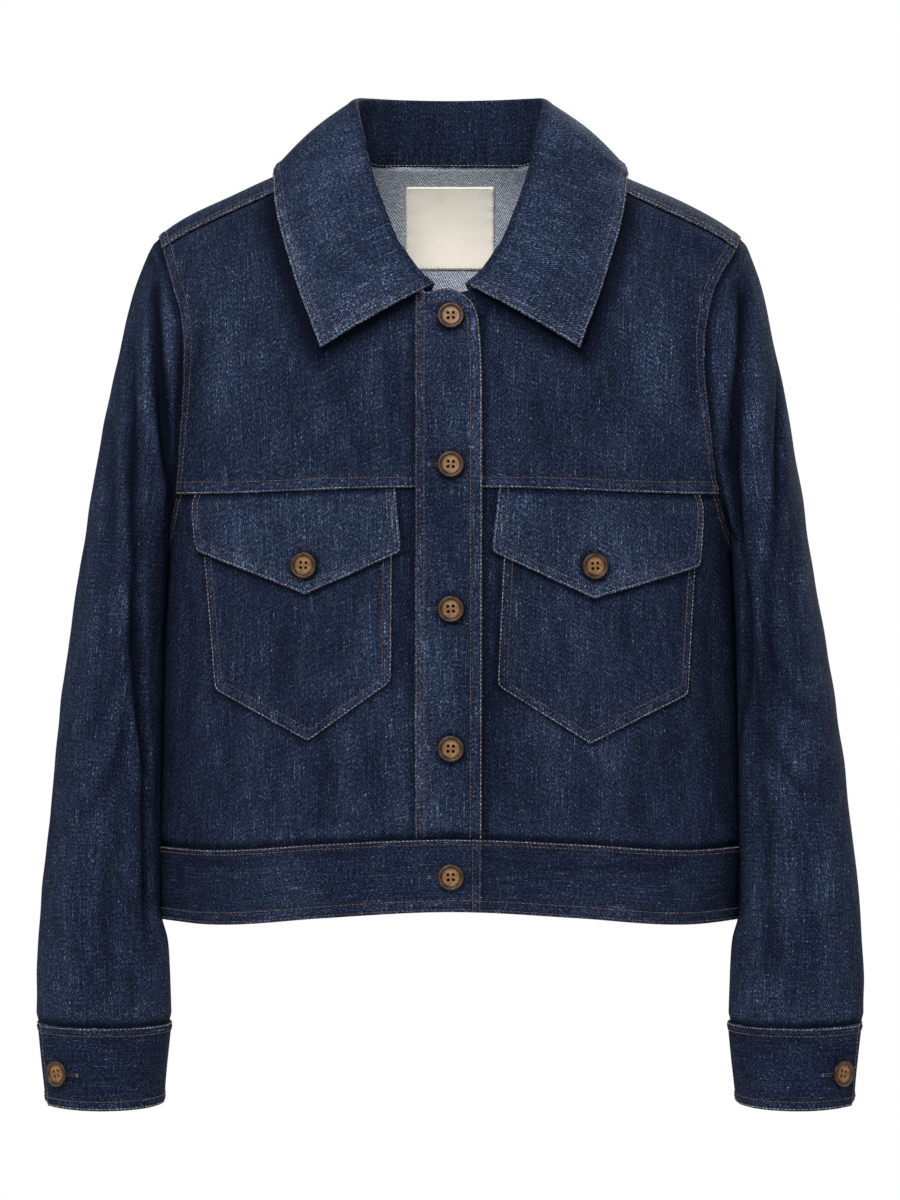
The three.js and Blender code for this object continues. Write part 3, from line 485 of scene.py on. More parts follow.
# Lengths along the skin from the middle, on a grid of places on its left half
FLAT_S_STEPS, FLAT_W_STEPS, FLAT_REACH = 400, 155, 620
flat_grid = skin(
    np.linspace(0, 1, FLAT_S_STEPS + 1)[None, :], np.linspace(-FLAT_REACH, FLAT_REACH, FLAT_W_STEPS + 1)[:, None]
)
FLAT_U = np.cumsum(np.linalg.norm(np.diff(flat_grid, axis=1, prepend=flat_grid[:, :1]), axis=2), axis=1)


def laid_flat(places, face=FRONT):
    """Where places on the body lie once the cloth is laid flat, seen from its outer side."""
    i = np.clip(np.abs(places[..., 0]) * FLAT_S_STEPS, 0, FLAT_S_STEPS - 0.001)
    step = 2 * FLAT_REACH / FLAT_W_STEPS
    j = np.clip((places[..., 1] + FLAT_REACH) / step, 0, FLAT_W_STEPS - 0.001)
    a, b = i.astype(int), j.astype(int)
    upper = lerp(FLAT_U[b, a], FLAT_U[b, a + 1], i - a)
    lower = lerp(FLAT_U[b + 1, a], FLAT_U[b + 1, a + 1], i - a)
    u = np.sign(places[..., 0]) * lerp(upper, lower, j - b)
    return np.stack([-face * u, -face * places[..., 1]], -1)


def armhole(side, turns, face):
    z = ARMHOLE_Z + ARMHOLE_HALF * np.cos(np.radians(turns))
    return place(SIDES[side] * smooth(ARMHOLE, side, z), z, face)


def neckline(side, turns):
    """Half the neckline, from the front centre (turn 0) over the shoulder (90) to the back's."""
    x = SIDES[side] * NECK_HALF * np.sin(np.radians(turns))
    inner_end = shoulder_z(NECK_HALF / SHOULDER_SPAN)
    ahead = place(x, inner_end - NECK_DROP * np.cos(np.radians(turns)), FRONT)
    behind = place(x, lerp(inner_end, NECK_BACK_Z, eased((turns - 90) / NECK_BACK_FALL)), BACK)
    return np.where((turns > 90)[..., None], behind, ahead)


def yoke_z(x):
    t = (np.abs(x) - YOKE_SEAM["level_to"]) / (YOKE_SEAM["fall_to"] - YOKE_SEAM["level_to"])
    end = ARMHOLE_Z + ARMHOLE_HALF * np.cos(np.radians(YOKE_ARM))
    return lerp(YOKE_SEAM["z"], end, eased(t))


def waist_z(s, key):
    return smooth(WAIST, key, np.abs(across_of(s)))


def at_height(s, z, face):
    return place(across_of(s) * smooth(BODY, "half_width", z), z, face)


def sleeve_point(side, down, turns):
    """A sleeve: down runs from the armhole (0) to the cuff (1), and turns go from its top (0)
    through its front (90) and inner side (180)."""
    sign, cos, sin = SIDES[side], np.cos(np.radians(turns)), np.sin(np.radians(turns))

    def ring(at):
        outer_z = lerp(SLEEVE_TOP, SLEEVE_END, at)
        inner_z = lerp(UNDERARM_Z, SLEEVE_END, at**INNER_EASE)
        outer, inner = smooth(OUTER_EDGE, side, outer_z), smooth(INNER_EDGE, "x", inner_z)
        x = (outer + inner) / 2 + (outer - inner) / 2 * cos
        y = smooth(SLEEVE, "centre_y", at) - smooth(SLEEVE, "depth", at) * sin
        z = (outer_z + inner_z) / 2 + (outer_z - inner_z) / 2 * cos - smooth(SLEEVE, "tilt", at) * sin
        return np.stack([sign * x, y, z], -1)

    around = turns % 360
    seam = sleeve_seam(side, around)
    seam[..., 0] += sign * lerp(*SLEEVE_OFF, ((1 - cos) / 2) ** 4)
    fade = np.maximum(1 - down / SEAM_FADE, 0) ** 2
    point = ring(down) + (seam - ring(down * 0)) * fade[..., None]
    fold = SLEEVE_FOLDS[side]
    close = np.maximum(1 - np.abs(around - fold["turn"]) / fold["half_width"], 0)
    along = np.clip((down - fold["span"][0]) / (fold["span"][1] - fold["span"][0]), 0, 1)
    dip = fold["depth"] * eased(close) * np.sin(np.pi * along)
    return point + np.stack([-sign * cos, sin, 0 * sin], -1) * dip[..., None]


def sleeve_seam(side, around, inward=0):
    """The armhole's line at turns round the sleeve, or a line further in on the body."""
    face = np.where(around > 180, BACK, FRONT)
    places = armhole(side, np.minimum(around, 360 - around), face)
    if inward:
        points = on_skin(places)
        places = place(points[..., 0] - SIDES[side] * inward, points[..., 2], face)
    return on_skin(places)


def cuff_point(side, turns, down, lift=0):
    angle = np.radians(turns)

    def at(angle, down):
        of = {key: lerp(*CUFF[key], down) for key in CUFF}
        x = (of["outer"] + of["inner"]) / 2 + (of["outer"] - of["inner"]) / 2 * np.cos(angle)
        y = of["centre_y"] - of["depth"] * np.sin(angle)
        return np.stack([SIDES[side] * x, y, of["z"] - of["tilt"] * np.sin(angle)], -1)

    around = at(angle + 1e-3, down) - at(angle - 1e-3, down)
    out = SIDES[side] * unit(np.cross(around, at(angle, down + 1e-3) - at(angle, down - 1e-3)))
    return at(angle, down) + out * np.asarray(lift)[..., None], out


UNDER_FALL = np.stack(np.meshgrid(np.linspace(0, 0.5, 51), np.linspace(-150, 90, 81)), -1).reshape(-1, 2)
UNDER_FALL_AT, UNDER_FALL_OUT = on_skin(UNDER_FALL), skin_out(UNDER_FALL)


def clear_of_body(points):
    """Points of the collar's fall, moved out where they are too near the body."""
    nearest = np.linalg.norm(points[:, None] - UNDER_FALL_AT, axis=-1).argmin(1)
    out = UNDER_FALL_OUT[nearest]
    height = ((points - UNDER_FALL_AT[nearest]) * out).sum(-1)
    return points + out * np.maximum(FALL_CLEARANCE - height, 0)[:, None]


STAND_ROWS = 9  # of the collar's grid up its stand, and as many less one over its fold
FALL_ROW = 2 * STAND_ROWS  # the second row of the fall


def collar_section(turn, fall_shares, steps=STAND_ROWS):
    """The collar's section at a turn round half the neckline, up its stand and down its fall."""
    of = {key: smooth(COLLAR, key, turn) for key in COLLAR}
    fold = np.array([of["fold_x"], of["fold_y"], of["fold_z"]])
    edge = np.array([of["edge_x"], of["edge_y"], of["edge_z"]])
    neck = on_skin(neckline("left", np.array(float(turn))))
    up, fall = unit(fold - neck), unit(edge - fold)
    outward = unit(fall - up * (fall @ up))
    seam = neck + up * lerp(*COLLAR_LIFT, eased(turn / 90))
    inside = fold - up * FOLD["below"] - outward * FOLD["inside"]
    outside = clear_of_body((fold + fall * FOLD["after"] + outward * FOLD["outside"])[None])[0]
    stand = lerp(seam, inside, np.linspace(0, 1, steps)[:, None])
    controls = [inside, inside + up * FOLD["pull"], outside - fall * FOLD["pull"], outside]
    q = np.linspace(0, 1, steps)[1:, None]
    weights = [(1 - q) ** 3, 3 * q * (1 - q) ** 2, 3 * q * q * (1 - q), q**3]
    over = sum(weight * control for weight, control in zip(weights, controls))
    proud = unit(np.cross(fall, unit(np.cross(up, fall))))
    q = fall_shares[1:, None]
    leaf = lerp(outside, edge, q) + proud * 4 * q * (1 - q) * of["bow"]
    return np.concatenate([stand, clear_of_body(np.concatenate([over, leaf]))])


def collar_run(turns):
    """The inner line of the collar's fold and the line of its free edge, at turns."""
    sections = np.array([collar_section(turn, np.array([0, 1.0]), steps=2) for turn in turns])
    return sections[:, 1], sections[:, -1]


# ---------------------------------------------------------------- grids of cloth

FINE = np.array([0, 0.25, 0.6, 1.1, 1.8, 2.6, 3.6, 4.8, 6.0, 7.3, 8.8, 10.6])
STEP = 3.3
# How far a piece runs on under its neighbour, as the distances of its added rows
TUCK = (1.2, 6.5)
SLEEVE_SEAM_TUCK = (1.2, 4.0)
HEAD_TUCK = (4.5, 1.5)
OUT_SMOOTHING = 24  # rounds in which the ways out of a sleeve are evened out round it


def spaced(length, fine_start=True, fine_end=True, step=STEP):
    """Shares of a length, close together at its made-up ends."""
    start, end = FINE if fine_start else FINE[:1], FINE if fine_end else FINE[:1]
    count = max(int(round((length - start[-1] - end[-1]) / step)), 1)
    middle = np.linspace(start[-1], length - end[-1], count + 1)
    return np.concatenate([start[:-1], middle, length - end[::-1][1:]]) / length


def along(curve, shares):
    """Places at shares of the length of a curve on the skin."""
    run = lengths(on_skin(curve))
    return np.stack([np.interp(shares * run[-1], run, column) for column in curve.T], -1)


def fill(top, bottom, left, right):
    """A grid of places from its four edges, which share their corners."""

    def shares(one, other):
        both = [lengths(on_skin(edge)) for edge in (one, other)]
        return sum(run / run[-1] for run in both) / 2

    u, v = shares(top, bottom)[None, :, None], shares(left, right)[:, None, None]
    rows = lerp(top[None], bottom[None], v)
    columns = lerp(left[:, None], right[:, None], u)
    corners = lerp(lerp(top[0], top[-1], u), lerp(bottom[0], bottom[-1], u), v)
    return rows + columns - corners


def fill_between(top, bottom, left, right):
    """A grid of places from a top and bottom, and sides that are made to end at their corners."""
    for edge, corner in ((left, 0), (right, -1)):
        edge[0], edge[-1] = top[corner], bottom[corner]
    return fill(top, bottom, left, right)


def free_edge(grid):
    """The line down a grid's first side, along its foot and up its last side."""
    return np.concatenate([grid[:, 0], grid[-1, 1:], grid[::-1, -1][1:]])


def zone(point, out, flat, level):
    """Cloth over a grid of points; its outer face is level beyond them."""
    shape = point.shape[:2]
    level = np.broadcast_to(np.asarray(level, float), shape)
    return {"point": point, "out": out, "flat": flat, "level": level, "beyond": np.zeros(shape)}


def skin_zone(places, face, level=SKIN_FACE):
    return zone(on_skin(places), skin_out(places), laid_flat(places, face), level)


def facing(point):
    """The way out of a grid of points, or the way in, from its neighbours."""
    return unit(np.cross(np.gradient(point, axis=1), np.gradient(point, axis=0)))


def tuck(part, side, reach=TUCK):
    """Carries a zone on beyond one side, under the piece that it is sewn to."""
    axis, first = int(side in ("left", "right")), side in ("top", "left")
    last, before = (0, 1) if first else (-1, -2)
    step = np.linalg.norm(np.take(part["point"], last, axis) - np.take(part["point"], before, axis), axis=-1)
    made = {}
    for key, values in part.items():
        edge = np.take(values, last, axis)
        more = [edge] * len(reach)
        if key in ("point", "flat"):
            more = [edge + (edge - np.take(values, before, axis)) * (r / step)[:, None] for r in reach]
        if key == "beyond":
            more = [edge + r for r in reach]
        more = np.stack(more[::-1] if first else more, axis)
        made[key] = np.concatenate([more, values] if first else [values, more], axis)
    return made


# ---------------------------------------------------------------- creases
# Soft troughs, or ridges where the depth is below zero, along lines of the front view or of
# the view from behind. A row is the x and z of a line's three points, a width and a depth.

BODY_CREASES = {
    FRONT: [
        (-176, -112, -182, -165, -178, -222, 12, 2.2),
        (-158, -104, -160, -150, -152, -205, 13, -1.2),
        (-128, -128, -112, -165, -104, -214, 15, 1.3),
        (-84, -150, -66, -182, -58, -218, 13, 1.2),
        (-44, -120, -40, -165, -46, -215, 9, 1.1),
        (168, -92, 174, -140, 166, -205, 12, 1.8),
        (150, -85, 142, -140, 146, -200, 14, -1.1),
        (120, -140, 104, -170, 96, -215, 13, 1.3),
        (70, -135, 66, -175, 74, -212, 15, 1.0),
        (38, -110, 33, -160, 36, -216, 8, 1.2),
        (-33, -262, -31, -330, -35, -420, 8, 1.8),
        (32, -262, 34, -340, 30, -440, 9, 1.6),
        (-96, -385, -88, -420, -92, -474, 11, 1.9),
        (-78, -400, -71, -430, -73, -478, 9, -1.2),
        (-120, -400, -126, -430, -118, -472, 12, 1.3),
        (-50, -380, -54, -420, -48, -470, 10, 1.4),
        (-150, -380, -156, -420, -160, -470, 12, 1.2),
        (-184, -300, -181, -350, -186, -420, 9, 1.5),
        (60, -400, 57, -430, 62, -474, 10, 1.5),
        (94, -415, 98, -440, 92, -476, 12, 1.2),
        (128, -395, 132, -430, 126, -474, 11, 1.5),
        (158, -385, 154, -420, 162, -468, 12, 1.1),
        (184, -290, 181, -345, 186, -420, 9, 1.4),
        (-122, -312, -116, -340, -120, -372, 13, 1.1),
        (-76, -300, -70, -330, -74, -368, 12, 1.0),
        (76, -312, 80, -340, 74, -376, 12, 1.0),
        (128, -305, 124, -340, 130, -380, 13, 1.1),
        (24, -491, 90, -495.5, 172, -493, 3.6, 1.5),
        (-188, -489, -166, -493, -138, -491, 3.4, 1.3),
        (-120, -490, -90, -487, -50, -489, 3.4, 0.8),
        (-108, -241, -72, -239.5, -42, -243, 2.6, 1.3),
        (-170, -246, -140, -242, -118, -243, 2.8, 1.0),
        (44, -243, 80, -240, 112, -243, 2.8, 1.2),
    ],
    BACK: [
        (-168, -92, -160, -140, -150, -200, 15, 2.2),
        (166, -96, 156, -150, 150, -212, 15, 2.0),
        (-120, -130, -105, -200, -110, -280, 17, 1.5),
        (118, -150, 108, -215, 104, -300, 16, 1.6),
        (-48, -170, -42, -260, -52, -350, 18, 1.3),
        (40, -190, 50, -280, 44, -370, 17, 1.3),
        (-170, -262, -140, -286, -110, -296, 11, 1.8),
        (172, -258, 146, -280, 118, -300, 11, 1.8),
        (-150, -380, -140, -420, -146, -472, 12, 1.7),
        (-84, -400, -90, -435, -82, -474, 12, 1.5),
        (-18, -410, -22, -440, -15, -474, 10, 1.3),
        (60, -395, 66, -430, 58, -474, 12, 1.5),
        (128, -385, 122, -425, 130, -472, 12, 1.7),
        (0, -60, 0, -200, 0, -330, 4, 0.6),
    ],
}

# On the sleeves, as on the body.
SLEEVE_CREASES = {
    "right": {
        FRONT: [
            (-207.5, -90, -204, -148, -196.5, -236, 5.5, 7),
            (-199, -96, -196, -140, -193, -190, 4, -1.8),
            (-213, -100, -211, -160, -204, -240, 5, -1.6),
            (-197, -226, -200, -275, -206, -330, 6, 6),
            (-222, -122, -223.5, -200, -220, -300, 6.5, 5.5),
            (-223, -280, -219, -350, -213, -430, 6, 6.5),
            (-215, -400, -213, -470, -211, -560, 6, 5),
            (-214, -66, -207, -76, -202, -86, 3.2, 3.2),
            (-236, -180, -238, -240, -234, -310, 9, 2.2),
            (-247, -270, -243, -330, -250, -400, 9, 2),
            (-232, -330, -240, -380, -262, -410, 8, 2.4),
            (-228, -400, -240, -438, -268, -462, 8, 2.2),
            (-236, -480, -242, -520, -238, -585, 8, 2.4),
            (-262, -470, -258, -530, -264, -590, 8, 1.8),
            (-206, -340, -204, -400, -207, -470, 6, 3),
            (-226, -560, -222, -580, -226, -600, 6, 1.8),
            (-250, -555, -252, -580, -248, -600, 6, 1.6),
        ],
        BACK: [
            (-214, -100, -208, -170, -203, -250, 9, 5),
            (-232, -140, -226, -220, -220, -300, 10, 3),
            (-208, -300, -222, -350, -262, -372, 9, 3.4),
            (-210, -350, -232, -395, -270, -410, 9, 3),
            (-214, -420, -236, -448, -272, -456, 9, 2.4),
            (-216, -460, -222, -520, -218, -585, 9, 3),
            (-250, -480, -246, -530, -252, -590, 9, 2.2),
        ],
    },
    "left": {
        FRONT: [
            (203, -80, 207, -112, 203, -150, 6, 5.5),
            (204, -140, 199, -190, 198, -232, 6, 7),
            (183, -186, 196, -216, 203, -240, 5, 4),
            (188, -242, 198, -262, 207, -280, 5, 4.5),
            (196, -270, 203, -282, 212, -292, 5, -3),
            (200, -225, 204, -270, 209, -300, 6, 6),
            (209, -290, 208, -360, 203, -420, 6, 6.5),
            (204, -400, 202, -470, 201, -540, 6.5, 4),
            (214, -100, 216, -170, 213, -240, 8, -1.6),
            (228, -130, 231, -200, 227, -280, 6.5, 5),
            (226, -270, 222, -340, 226, -400, 7, 3.2),
            (243, -240, 240, -300, 248, -360, 9, 2.2),
            (222, -330, 236, -372, 262, -392, 8, 2.6),
            (218, -390, 234, -428, 264, -450, 8, 2.2),
            (226, -450, 222, -510, 228, -585, 8, 2.8),
            (254, -460, 250, -520, 258, -585, 8, 2),
            (238, -560, 242, -580, 238, -600, 6, 1.8),
        ],
        BACK: [
            (212, -104, 206, -180, 202, -250, 9, 5),
            (230, -150, 224, -230, 218, -310, 10, 2.8),
            (206, -310, 224, -356, 264, -380, 9, 3.4),
            (208, -366, 230, -404, 268, -424, 9, 2.8),
            (212, -430, 236, -462, 272, -470, 9, 2.4),
            (220, -470, 216, -530, 222, -590, 9, 2.8),
            (252, -490, 248, -540, 254, -592, 9, 2),
        ],
    },
}

# A short sharp fold at each sleeve's head
SLEEVE_PINCH = {
    "right": [(-213, -66), (-207, -75), (-201.5, -86)],
    "left": [(209, -66), (205, -74), (200, -84)],
}

# Painted shade along the bottoms of the sleeves' deepest folds: a line, how dark and how wide
SLEEVE_VALLEYS = {
    "right": [
        ([(-207, -88), (-204.5, -135), (-203, -165)], 1.4, 3.6),
        ([(-203.5, -150), (-199.5, -196), (-196.5, -236)], 1.3, 5.2),
        ([(-222.5, -170), (-223.5, -230), (-220, -300)], 0.6, 2.6),
        ([(-222, -300), (-218, -360), (-213, -430)], 0.5, 3.0),
    ],
    "left": [
        ([(205, -96), (202.5, -150), (199, -200)], 1.2, 3.4),
        ([(199.5, -190), (199, -225), (204, -262)], 1.1, 3.8),
        ([(228, -150), (230, -210), (226, -285)], 0.5, 2.6),
        ([(208.5, -290), (208, -360), (203, -420)], 0.6, 3.4),
    ],
}

# On the collar, mirrored for each side: points (turn, share of the section), width and depth.
COLLAR_CREASES = {
    "right": [
        ([(30, 0.62), (58, 0.7), (80, 0.66)], 8, 1.2),
        ([(24, 0.8), (44, 0.86), (60, 0.92)], 9, -0.8),
        ([(60, 0.74), (78, 0.8), (96, 0.9)], 9, 0.9),
        ([(100, 0.7), (124, 0.78), (150, 0.74)], 12, 0.9),
    ],
    "left": [
        ([(34, 0.68), (54, 0.64), (74, 0.72)], 8, 0.9),
        ([(22, 0.86), (40, 0.8), (58, 0.82)], 8, 0.8),
        ([(66, 0.82), (84, 0.76), (100, 0.84)], 10, -0.8),
        ([(104, 0.8), (130, 0.72), (158, 0.8)], 12, 0.9),
    ],
}


def curved(a, b, c):
    """A smooth line through three points."""
    t = np.linspace(0, 1, 14)[:, None]
    middle = 2 * np.asarray(b) - (np.asarray(a) + np.asarray(c)) / 2
    return (1 - t) ** 2 * np.asarray(a) + 2 * t * (1 - t) * middle + t * t * np.asarray(c)


def creased(points, lines):
    """Height of creased cloth: lines are (points in space, width, depth)."""
    height = np.zeros(len(points))
    for line, width, depth in lines:
        low, high = line.min(0) - 3 * width, line.max(0) + 3 * width
        close = ((points > low) & (points < high)).all(1)
        if not close.any():
            continue
        distance, run = near(points[close], line)
        share = run / lengths(line)[-1]
        taper = np.sin(np.pi * np.clip(share, 0.02, 0.98)) ** 0.8
        shape = bell(distance, width) * (1 - 0.55 * (distance / width) ** 2)
        height[close] -= depth * taper * shape
    return height


def crease_lines(creases, line_on):
    """Creases as (points in space, width, depth), where line_on lays three points on a face."""
    return [(line_on(face, np.reshape(row[:6], (3, 2))), *row[6:]) for face in creases for row in creases[face]]


def on_face(face, points):
    """A smooth line on the body's skin, in space, through three points of the front or back view."""
    return on_skin(place(*curved(*points).T, face))


# Swells of the cloth: height, length, seed and how far they are drawn out in height
SWELLS = {
    "body": [(0.75, 95, 11, 3), (0.4, 42, 12, 1.6)],
    "sleeve_right": [(1.0, 90, 21, 2), (0.55, 38, 22, 1.3)],
    "sleeve_left": [(1.0, 90, 31, 2), (0.55, 38, 32, 1.3)],
    "cuff_right": [(0.5, 60, 40, 1)],
    "cuff_left": [(0.5, 60, 42, 1)],
    "collar": [(0.8, 60, 51, 1)],
}

# Sleeves and body lie quiet where they are side by side, and the body round its buttons
SIDE_TOP, SIDE_FADE = -250, 30
BODY_QUIET_X, SLEEVE_QUIET_X, QUIET_FADE = 188, 204, 10
BUTTON_QUIET = 13
CUFF_FADE = 30  # over this way above the cuff the sleeve's swells die away
ARMHOLE_FADE = 11  # over this way from the armhole the body's drape becomes the sleeve's


def swells(name, points):
    """How high the cloth's slow swells stand."""
    return sum(height * ripples(points, length, seed, upright) for height, length, seed, upright in SWELLS[name])


def beside_body(points, x):
    """How far points are into the stretch beyond x where the sleeves lie along the body's sides."""
    return eased((np.abs(points[:, 0]) - x) / QUIET_FADE), eased((SIDE_TOP - points[:, 2]) / SIDE_FADE)


BUTTON_SEATS = [(FRONT_BUTTON_X, z) for z in FRONT_BUTTONS] + list(FLAP_BUTTONS.values())
BUTTON_PLACES = on_skin(place(*np.transpose(BUTTON_SEATS), FRONT))
BODY_LINES = crease_lines(BODY_CREASES, on_face)


def body_drape(points):
    """How the body's cloth swells and creases, and lies quiet round the buttons."""
    height = creased(points, BODY_LINES) + swells("body", points)
    for seat in BUTTON_PLACES:
        height *= 1 - bell(np.linalg.norm(points - seat, axis=1), BUTTON_QUIET)
    out, below = beside_body(points, BODY_QUIET_X)
    return height * (1 - out * below)


def on_sleeve(side, face, points):
    """A smooth line of points on a sleeve, from its places in the front view or behind it."""
    turns = np.linspace(0, 180, 91) if face == FRONT else np.linspace(180, 360, 91)
    down, around = np.meshgrid(np.linspace(0, 1, 221), turns, indexing="ij")
    grid = sleeve_point(side, down.ravel(), around.ravel())
    aims = curved(*points)
    apart = (grid[None, :, 0] - aims[:, :1]) ** 2 + (grid[None, :, 2] - aims[:, 1:]) ** 2
    line = grid[apart.argmin(1)]
    for _ in range(3):
        line[1:-1] = (line[:-2] + line[1:-1] + line[2:]) / 3
    return line


def sleeve_drape(side):
    lines = crease_lines(SLEEVE_CREASES[side], lambda face, points: on_sleeve(side, face, points))
    loop = sleeve_seam(side, np.linspace(0, 360, 121))

    def drape(points):
        over_cuff = eased((points[:, 2] - SLEEVE_END) / CUFF_FADE)
        own = creased(points, lines) + swells("sleeve_" + side, points) * over_cuff
        out, below = beside_body(points, SLEEVE_QUIET_X)
        own *= 1 - (1 - out) * below
        return lerp(body_drape(points), own, eased(near(points, loop)[0] / ARMHOLE_FADE))

    return drape


# ---------------------------------------------------------------- made-up cloth


def seam(line, rows=(1.1, 6.6), rise=0.5, pale=1, lay="over", rope=0.14, pucker=0.28, only=None):
    """How an edge is made up: its flat line, its stitch rows' distances from it, how proud it
    stands, how many of its rows are pale, whether it lies over or under its neighbour, and
    which of the cloth's points it concerns."""
    how = {"rows": rows, "rise": rise, "pale": pale, "rope": rope, "pucker": pucker}
    return {"line": line, "lay": lay, "only": only, **how}


def shadow(line, strength=0.8, width=2.4):
    """A painted shadow: darker cloth along a line where another piece or a fold throws shade, or a paler line if the
    strength is below zero.
    """
    return {"line": line, "lay": "shadow", "strength": strength, "width": width, "only": None}


ROW_DIP, ROW_WIDTH = 0.26, 0.6  # of the cloth under a row of stitches
CHANNEL_RISE = 0.32  # of the cloth between two rows
ROPE_PITCH = 5.3  # of the slanting ridges along an edge
PUCKER_FADE = 7
TUCK_SINK = 1.35  # how far cloth sinks where it goes under its neighbour
TUCK_REACH = 6
TUCKED_DOWN = 1.6  # how many times that sinking the part under the neighbour lies deep


def seam_relief(distance, run, how, seed):
    rows = how["rows"]
    last = rows[-1] if rows else 3
    inside = 1 - eased((distance - last + 0.6) / 2)
    height = how["rise"] * inside
    for first, second in zip(rows, rows[1:]):
        share = np.clip((distance - first) / (second - first), 0, 1)
        height += CHANNEL_RISE * np.sin(np.pi * share) ** 2 * (1 + 0.5 * wobble(run, 8, seed))
    for row in rows:
        height -= ROW_DIP * bell(distance - row, ROW_WIDTH)
    slant = 2 * np.pi * (run / ROPE_PITCH + distance / 7)
    height += how["rope"] * inside * np.sin(slant + 2 * wobble(run, 25, seed + 1))
    fade = np.exp(-np.maximum(distance - last, 0) / PUCKER_FADE)
    return height + how["pucker"] * wobble(run, 12, seed + 2) * fade


FAR = 99.0  # from a seam: out of its reach
SHADE_HEIGHT, SHADE_RANGE = 3, (-2.2, 0.45)  # painted shade in creases' bottoms and painted light on their tops
GRAIN_SHIFT = (731.0, 457.0)  # between the pieces, so that no two have the same yarns


def triangles_of(quads):
    return np.concatenate([quads[:, [0, 1, 2]], quads[:, [0, 2, 3]]])


def normals_of(points, quads):
    across = points[quads[:, 2]] - points[quads[:, 0]]
    down = points[quads[:, 3]] - points[quads[:, 1]]
    faces = np.cross(across, down)
    total = np.zeros_like(points)
    for corner in range(4):
        np.add.at(total, quads[:, corner], faces)
    return unit(total)


def grid_quads(shape, first=0):
    index = np.arange(shape[0] * shape[1]).reshape(shape) + first
    corners = [index[:-1, :-1], index[1:, :-1], index[1:, 1:], index[:-1, 1:]]
    return np.stack([c.ravel() for c in corners], -1)


def add(name, data):
    """An object in the scene."""
    made = bpy.data.objects.new(name, data)
    bpy.context.scene.collection.objects.link(made)
    return made


def new_mesh(name, points, faces, materials, face_materials=None, uv=None, fields=None):
    """A mesh object in metres from points in millimetres and faces all of one size."""
    mesh = bpy.data.meshes.new(name)
    count, size = faces.shape
    mesh.vertices.add(len(points))
    mesh.vertices.foreach_set("co", (points * MM).astype(np.float32).ravel())
    mesh.loops.add(count * size)
    mesh.loops.foreach_set("vertex_index", faces.astype(np.int32).ravel())
    mesh.polygons.add(count)
    mesh.polygons.foreach_set("loop_start", np.arange(count, dtype=np.int32) * size)
    mesh.polygons.foreach_set("use_smooth", np.ones(count, bool))
    if face_materials is not None:
        mesh.polygons.foreach_set("material_index", face_materials.astype(np.int32))
    if uv is not None:
        mesh.uv_layers.new(name="cloth").uv.foreach_set("vector", (uv * MM).astype(np.float32).ravel())
    for key, values in (fields or {}).items():
        mesh.attributes.new(key, "FLOAT", "POINT").data.foreach_set("value", values.astype(np.float32))
    mesh.update(calc_edges=True)
    mesh.validate()
    for material in materials:
        mesh.materials.append(material)
    return add(name, mesh)


